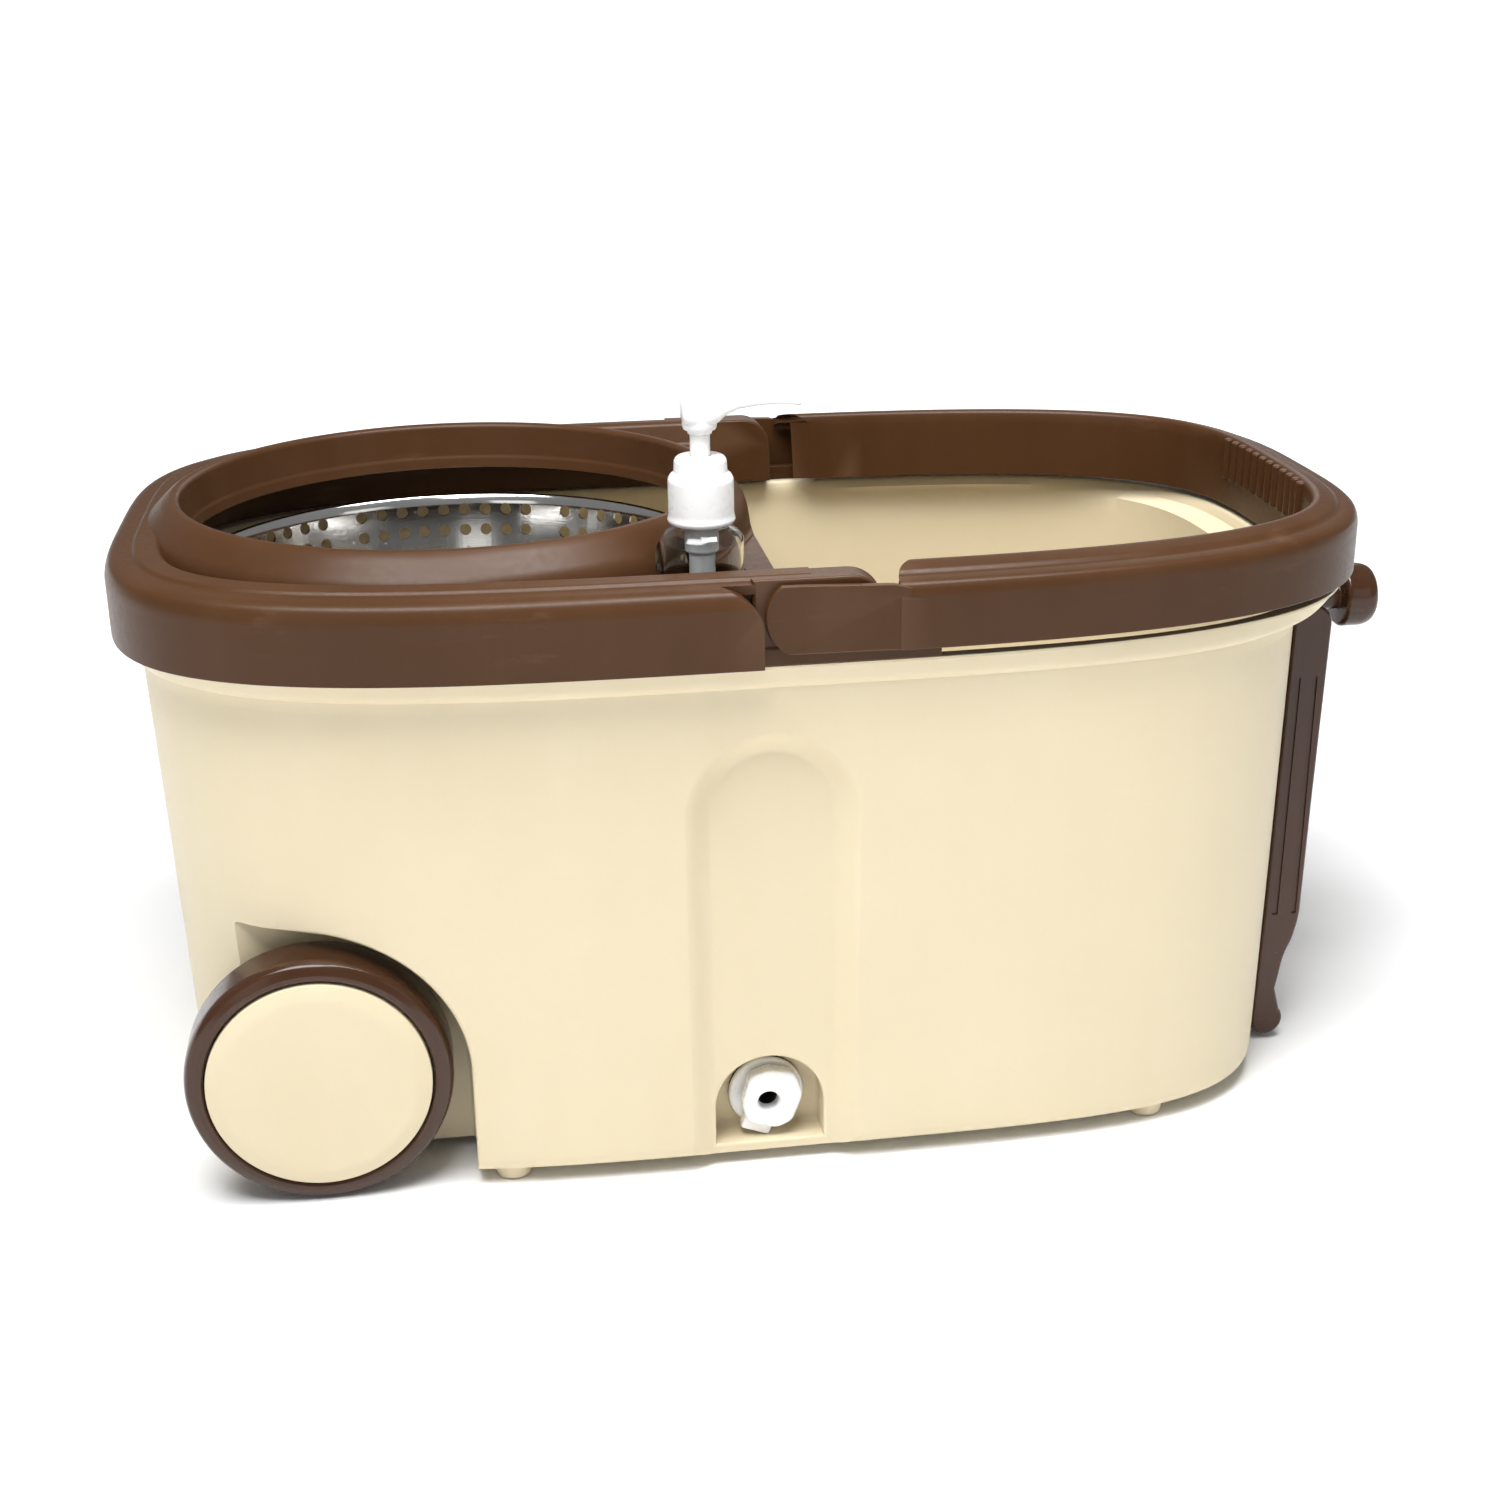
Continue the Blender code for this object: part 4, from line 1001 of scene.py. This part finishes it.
def build_bottle():
    z = BOTTLE_LOW_Z
    r = BOTTLE_R
    shell = soften([
        (0, z + 0.0012), (r - 0.0050, z + 0.0003, 0.001), (r - 0.0035, z, 0.0008),
        (r, z, 0.0020), (r, 0.2486, 0.0040), (r - 0.0030, 0.2516, 0.0030),
        (0.0098, 0.2530, 0.0008), (0.0094, 0.2545, 0.0006), (0.0094, 0.2640, 0),
        (0.0082, 0.2640, 0), (0.0082, 0.2528, 0.0006), (r - 0.0036, 0.2506, 0.0030),
        (r - 0.0011, 0.2480, 0.0035), (r - 0.0011, z + 0.0014, 0.0020),
        (r - 0.0050, z + 0.0016, 0.001), (0, z + 0.0028),
    ], 0, closed=False, steps=6)
    closure = soften([
        (0.0098, 0.2540, 0), (0.0120, 0.2540, 0.0004), (0.0127, 0.2552, 0.0006),
        (0.0122, 0.2572, 0.0010), (0.0122, 0.2704, 0.0012), (0.0112, 0.2722, 0.0008),
        (0.0100, 0.2728, 0.0006), (0.0097, 0.2776, 0.0012), (0.0084, 0.2790, 0.0010),
        (0.0040, 0.2790, 0), (0.0040, 0.2660, 0), (0.0098, 0.2660, 0),
    ], 0, steps=5)
    chamber = soften([
        (0.0042, 0.2120, 0), (0.0049, 0.2160, 0.001), (0.0049, 0.2425, 0.0006),
        (0.0063, 0.2435, 0.0006), (0.0063, 0.2643, 0), (0.0094, 0.2643, 0),
        (0.0094, 0.2657, 0), (0.0040, 0.2657, 0), (0.0040, 0.2170, 0),
        (0.0030, 0.2150, 0), (0.0030, 0.2120, 0),
    ], 0)
    tube_wall = [(0.0016, z + 0.0060), (0.0027, z + 0.0060), (0.0027, 0.2135),
                 (0.0016, 0.2135)]
    stem = soften([(0, 0.2300), (0.0030, 0.2300, 0), (0.0037, 0.2310, 0), (0.0037, 0.2868, 0),
                   (0, 0.2868)], 0, closed=False)
    for name, profile, closed, paint, body, node in (
            ("bottle_clear", shell, False, CLEAR, "bottle", "bottle_body"),
            ("pump_closure_look", closure, True, WHITE, "bottle", "pump_closure"),
            ("pump_chamber_look", chamber, True, FROSTED, "bottle", "pump_chamber"),
            ("dip_tube_look", tube_wall, True, FROSTED, "bottle", "dip_tube"),
            ("pump_stem_look", stem, False, WHITE, "pump_plunger", "pump_stem")):
        piece = placed(lathe(name, profile, 96, closed), "z", BOTTLE_X, BOTTLE_Y, 0)
        finished(piece, paint, body, node)
    build_pump_head()


def build_pump_head():
    """Push pad and spout in one sweep along the spout, with the stem skirt under the pad."""
    stations = [
        # x, half width, underside, top
        (-0.0070, 0.0034, 0.2952, 0.2992), (-0.0066, 0.0050, 0.2925, 0.2998),
        (-0.0052, 0.0060, 0.2908, 0.3000), (-0.0020, 0.0066, 0.2900, 0.3000),
        (0.0030, 0.0064, 0.2900, 0.3000), (0.0065, 0.0052, 0.2912, 0.3000),
        (0.0095, 0.0040, 0.2937, 0.2999), (0.0140, 0.0034, 0.2957, 0.2998),
        (0.0220, 0.0030, 0.2967, 0.2996), (0.0290, 0.0028, 0.2970, 0.2993),
        (0.0330, 0.0027, 0.2967, 0.2990), (0.0360, 0.0025, 0.2961, 0.2984),
        (0.0372, 0.0020, 0.2960, 0.2978), (0.0376, 0.0012, 0.2962, 0.2972),
    ]
    rings = []
    for x, half, low, high in stations:
        ring = []
        middle = (low + high) / 2
        for k in range(40):
            a = 2 * math.pi * k / 40
            c = math.cos(a)
            s = math.sin(a)
            y = half * math.copysign(abs(c) ** 0.6, c)
            z = middle + (high - low) / 2 * math.copysign(abs(s) ** 0.6, s)
            ring.append((BOTTLE_X + x, BOTTLE_Y + y, z))
        rings.append(ring)
    head = tube("pump_head_look", rings, smooth=50)
    skirt = soften([(0, 0.2871), (0.0044, 0.2871, 0.0003), (0.0047, 0.2884, 0.0004),
                    (0.0060, 0.2888, 0.0004), (0.0064, 0.2902, 0.0006), (0.0064, 0.2960, 0),
                    (0, 0.2960)], 0, closed=False)
    join(head, placed(lathe("pump_skirt", skirt, 72, closed=False), "z", BOTTLE_X, BOTTLE_Y,
                      0))
    finished(head, WHITE, "pump_head", "pump_head")


# ---------------------------------------------------------------- pull handle

def arm_outline():
    """Side view of a pull handle arm: round eye, straight arm, kinked grip."""
    x = HINGE_X
    points = arc(x, HINGE_Z, 0.0082, 0, 180, 32)
    points += [(x - 0.0098, 0.120), (x - 0.0110, 0.060), (x - 0.0118, 0.040),
               (x - 0.0124, 0.022)]
    points += arc(x - GRIP_OFFSET_X, GRIP_Z, GRIP_R, 170, 400, 40)
    points += soften([(x - 0.0030, 0.024), (x - 0.0004, 0.040, 0.004),
                      (x + 0.0030, 0.048, 0.003), (x + 0.0052, 0.058, 0.004),
                      (x + 0.0062, 0.110)], 0, closed=False)
    return points


def arm_groove(name, x0, x1, lean, y0, y1):
    """Long shallow groove beside the edge of an arm."""
    low = 0.060
    high = 0.168
    outline = [(x0 - lean, low), (x1 - lean, low), (x1, high), (x0, high)]
    outline = soften(outline, 0.0006)
    return prism(name, outline, y0, y1, 0.0003, "-y", (0, 0, 0))


def build_pull_handle():
    outline = arm_outline()
    depth = ARM_OUT_Y - ARM_IN_Y
    arm = prism("pull_handle_look", outline, 0.0, depth, 0.0016, "-y", (0, -ARM_IN_Y, 0))
    far = prism("far_arm", outline, 0.0, depth, 0.0016, "-y", (0, ARM_OUT_Y, 0))
    bar = rod("grip_bar", "y", (HINGE_X - GRIP_OFFSET_X, -ARM_IN_Y - 0.004, GRIP_Z),
              GRIP_R - 0.0003, 2 * ARM_IN_Y + 0.008)
    web = box("web", (HINGE_X - 0.0050, -ARM_IN_Y - 0.003, 0.060),
              (HINGE_X - 0.0022, ARM_IN_Y + 0.003, 0.122), 0.0010)
    join(arm, far, bar, web)
    grooves = []
    for k, (low, high) in enumerate(((ARM_OUT_Y - 0.0010, ARM_OUT_Y + 0.002),
                                     (-ARM_OUT_Y - 0.002, -ARM_OUT_Y + 0.0010))):
        grooves.append(arm_groove("groove_a%d" % k, HINGE_X - 0.0062, HINGE_X - 0.0036,
                                  0.0015, low, high))
        grooves.append(arm_groove("groove_b%d" % k, HINGE_X + 0.0014, HINGE_X + 0.0036,
                                  0.0005, low, high))
    grooves.append(rod("rod_bore", "y", (HINGE_X, -0.0690, HINGE_Z), 0.00405, 0.1380))
    cut(arm, *grooves)
    finished(arm, GLOSSY, "pull_handle", "pull_handle")
    hinge = rod("hinge_rod_look", "y", (HINGE_X, -0.0686, HINGE_Z), 0.0040, 0.1372, 0.0006)
    finished(hinge, ROD, "pull_handle", "hinge_rod")


def build_knob():
    neck = HINGE_X + 0.0095 + 0.0003
    x0 = MIDDLE_X + 0.2274 + 0.0060
    face = 0.2520
    end = 0.2680
    r = 0.0139
    profile = soften([
        (0, 0.0), (0.0030, 0.0, 0), (0.0030, neck - x0, 0), (0.0060, neck - x0, 0),
        (0.0060, face - x0, 0.0006), (r - 0.0012, face - x0, 0.0006),
        (r, face - x0 + 0.0012, 0.0010), (r, end - x0 - 0.0055, 0.0040),
        (r - 0.0016, end - x0 - 0.0016, 0.0030), (r - 0.0060, end - x0, 0.0040),
        (0, end - x0),
    ], 0, closed=False, steps=6)
    knob = placed(lathe("lock_knob_look", profile, 128, closed=False), "x", x0, 0, KNOB_Z)
    finished(knob, GLOSSY, "lock_knob", "lock_knob")


# ---------------------------------------------------------------- drain fitting

def build_drain():
    place = (DRAIN_X, -RECESS_FLOOR_Y, DRAIN_Z)
    socket = soften([
        (0.0080, -0.0130, 0), (0.0105, -0.0130, 0.0005), (0.0105, 0.0018, 0),
        (0.0150, 0.0018, 0.0003), (0.0150, 0.0034, 0.0006), (0.0142, 0.0040, 0.0005),
        (0.0080, 0.0040, 0)], 0)
    piece = placed(lathe("drain_socket_look", socket, 96), "-y", *place)
    finished(piece, WHITE, "tub_body", "drain_socket")
    body = soften([(0, -0.0090), (0.0070, -0.0090, 0.0008), (0.0077, -0.0080, 0.0006),
                   (0.0077, 0.0045, 0), (0, 0.0045)], 0, closed=False)
    plug = lathe("drain_plug_look", body, 96, closed=False)
    knuckles = [(-0.0108, -0.0010), (-0.0086, -0.0090), (0.0030, -0.0124), (0.0092, -0.0098),
                (0.0118, -0.0034), (0.0138, 0.0020), (0.0120, 0.0070), (0.0104, 0.0112),
                (0.0004, 0.0136), (-0.0074, 0.0112), (-0.0090, 0.0058)]
    cap = prism("plug_cap", soften(knuckles, 0.0024, steps=6), 0.0043, 0.0118, 0.0014)
    tab_outline = soften([(-0.0112, -0.0120, 0.0012), (0.0000, -0.0163, 0.0012),
                          (0.0030, -0.0080, 0), (-0.0080, -0.0040, 0)], 0)
    tab = prism("plug_tab", tab_outline, 0.0045, 0.0095, 0.0008)
    join(plug, cap, tab)
    hole = soften([(0, -0.0070), (0.0040, -0.0070, 0.0004), (0.0040, 0.0060, 0),
                   (0.0041, 0.0104, 0.0008),
                   (0.0050, 0.0121, 0.0002), (0.0050, 0.0140), (0, 0.0140)], 0, closed=False)
    cut(plug, lathe("plug_hole", hole, 64, closed=False))
    placed(plug, "-y", *place)
    finished(plug, WHITE, "drain_plug", "drain_plug")
    # Painted shade: the dark seal-rubber finish goes on the faces deep inside the plug's hole, to
    # darken the hole as its shade does.
    plug.data.materials.append(RUBBER_AND_HOLE_SHADE)
    for face in plug.data.polygons:
        x, y, z = face.center
        deep = y > -RECESS_FLOOR_Y - 0.0066
        if deep and math.hypot(x - DRAIN_X, z - DRAIN_Z) < 0.00412:
            face.material_index = 1


# ---------------------------------------------------------------- pieces kept from the CAD

def keep_cad_pieces():
    """The small and inner pieces stay as they are and get the same procedural finishes."""
    finishes = {"white_plastic": WHITE, "brown_plastic": BROWN, "plain_steel": ROD,
                "seal_rubber": RUBBER_AND_HOLE_SHADE, "cream_plastic": CREAM, "polished_steel": BOWL,
                "clear_plastic": CLEAR, "frosted_plastic": FROSTED}
    for part in frame["record"]["subparts"]:
        node = frame["nodes"][part["node"]]
        if node.hide_render:
            continue
        node.data.materials.clear()
        node.data.materials.append(finishes[part["material_slot"]])


# ---------------------------------------------------------------- stage

def build_floor():
    bm = bmesh.new()
    corners = [(sx * FLOOR_REACH, sy * FLOOR_REACH) for sx, sy in
               ((-1, -1), (1, -1), (1, 1), (-1, 1))]
    bm.faces.new([bm.verts.new((x, y, -0.0004)) for x, y in corners])
    floor = add_mesh("studio_floor", bm, smooth=0)
    # The floor glows towards its edge, which makes the white studio backdrop.
    mat = bpy.data.materials.new("studio_floor")
    mat.use_nodes = True
    shader = mat.node_tree.nodes["Principled BSDF"]
    shader.inputs["Base Color"].default_value = (0.93, 0.935, 0.94, 1.0)
    shader.inputs["Roughness"].default_value = 0.9
    shader.inputs["Emission Color"].default_value = (1.0, 1.0, 1.0, 1.0)
    tree = mat.node_tree
    place = tree.nodes.new("ShaderNodeTexCoord")
    reach = tree.nodes.new("ShaderNodeVectorMath")
    reach.operation = "LENGTH"
    glow = tree.nodes.new("ShaderNodeMapRange")
    glow.inputs["From Min"].default_value = 0.35
    glow.inputs["From Max"].default_value = 1.6
    glow.inputs["To Min"].default_value = 0.0
    glow.inputs["To Max"].default_value = 1.0
    tree.links.new(place.outputs["Object"], reach.inputs[0])
    tree.links.new(reach.outputs["Value"], glow.inputs["Value"])
    tree.links.new(glow.outputs["Result"], shader.inputs["Emission Strength"])
    floor.data.materials.append(mat)


def soft_light(name, place, target, size, power, colour=(1.0, 1.0, 1.0)):
    data = bpy.data.lights.new(name, "AREA")
    data.shape = "RECTANGLE"
    data.size = size[0]
    data.size_y = size[1]
    data.energy = power
    data.color = colour
    lamp = bpy.data.objects.new(name, data)
    lamp.location = place
    aim = Vector(target) - Vector(place)
    lamp.rotation_euler = aim.to_track_quat("-Z", "Y").to_euler()
    bpy.context.scene.collection.objects.link(lamp)


def build_lights():
    world = bpy.data.worlds.new("studio")
    world.use_nodes = True
    back = world.node_tree.nodes["Background"]
    back.inputs["Color"].default_value = (0.97, 0.985, 1.0, 1.0)
    back.inputs["Strength"].default_value = 0.22
    bpy.context.scene.world = world
    soft_light("key", (-0.40, -0.55, 1.55), (-0.02, 0, 0.12), (1.0, 0.7), 29.0)
    soft_light("basin", (0.14, -0.20, 1.00), (0.10, 0.10, 0.12), (0.4, 0.3), 6.5)
    soft_light("rear", (0.5, 1.5, 1.0), (0, 0, 0.12), (0.9, 0.9), 3.0)
    soft_light("front_left", (-1.1, -1.6, 0.7), (-0.02, 0, 0.10), (0.7, 0.9), 1.6)
    soft_light("front_right", (1.2, -1.5, 0.7), (0.02, 0, 0.10), (0.7, 0.9), 1.4)


def build_camera():
    yaw = math.radians(CAMERA_YAW)
    pitch = math.radians(CAMERA_PITCH)
    roll = math.radians(CAMERA_ROLL)
    forward = Vector((math.sin(yaw) * math.cos(pitch), math.cos(yaw) * math.cos(pitch),
                      -math.sin(pitch)))
    right = Vector((math.cos(yaw), -math.sin(yaw), 0.0))
    up = right.cross(forward)
    across = right * math.cos(roll) + up * math.sin(roll)
    above = up * math.cos(roll) - right * math.sin(roll)
    data = bpy.data.cameras.new("camera")
    data.lens = CAMERA_LENS
    data.sensor_width = 36.0
    data.clip_start = 0.01
    data.clip_end = 200.0
    camera = bpy.data.objects.new("camera", data)
    turn = Matrix((across, above, -forward)).transposed().to_4x4()
    camera.matrix_world = Matrix.Translation(CAMERA_PLACE) @ turn
    bpy.context.scene.collection.objects.link(camera)
    bpy.context.scene.camera = camera


build_tub()
build_wheel(-1, "near")
build_wheel(1, "far")
build_cover()
build_basket()
build_carry_handle()
build_bottle()
build_pull_handle()
build_knob()
build_drain()
keep_cad_pieces()
build_floor()
build_lights()
build_camera()
bpy.context.scene.view_settings.view_transform = "Standard"
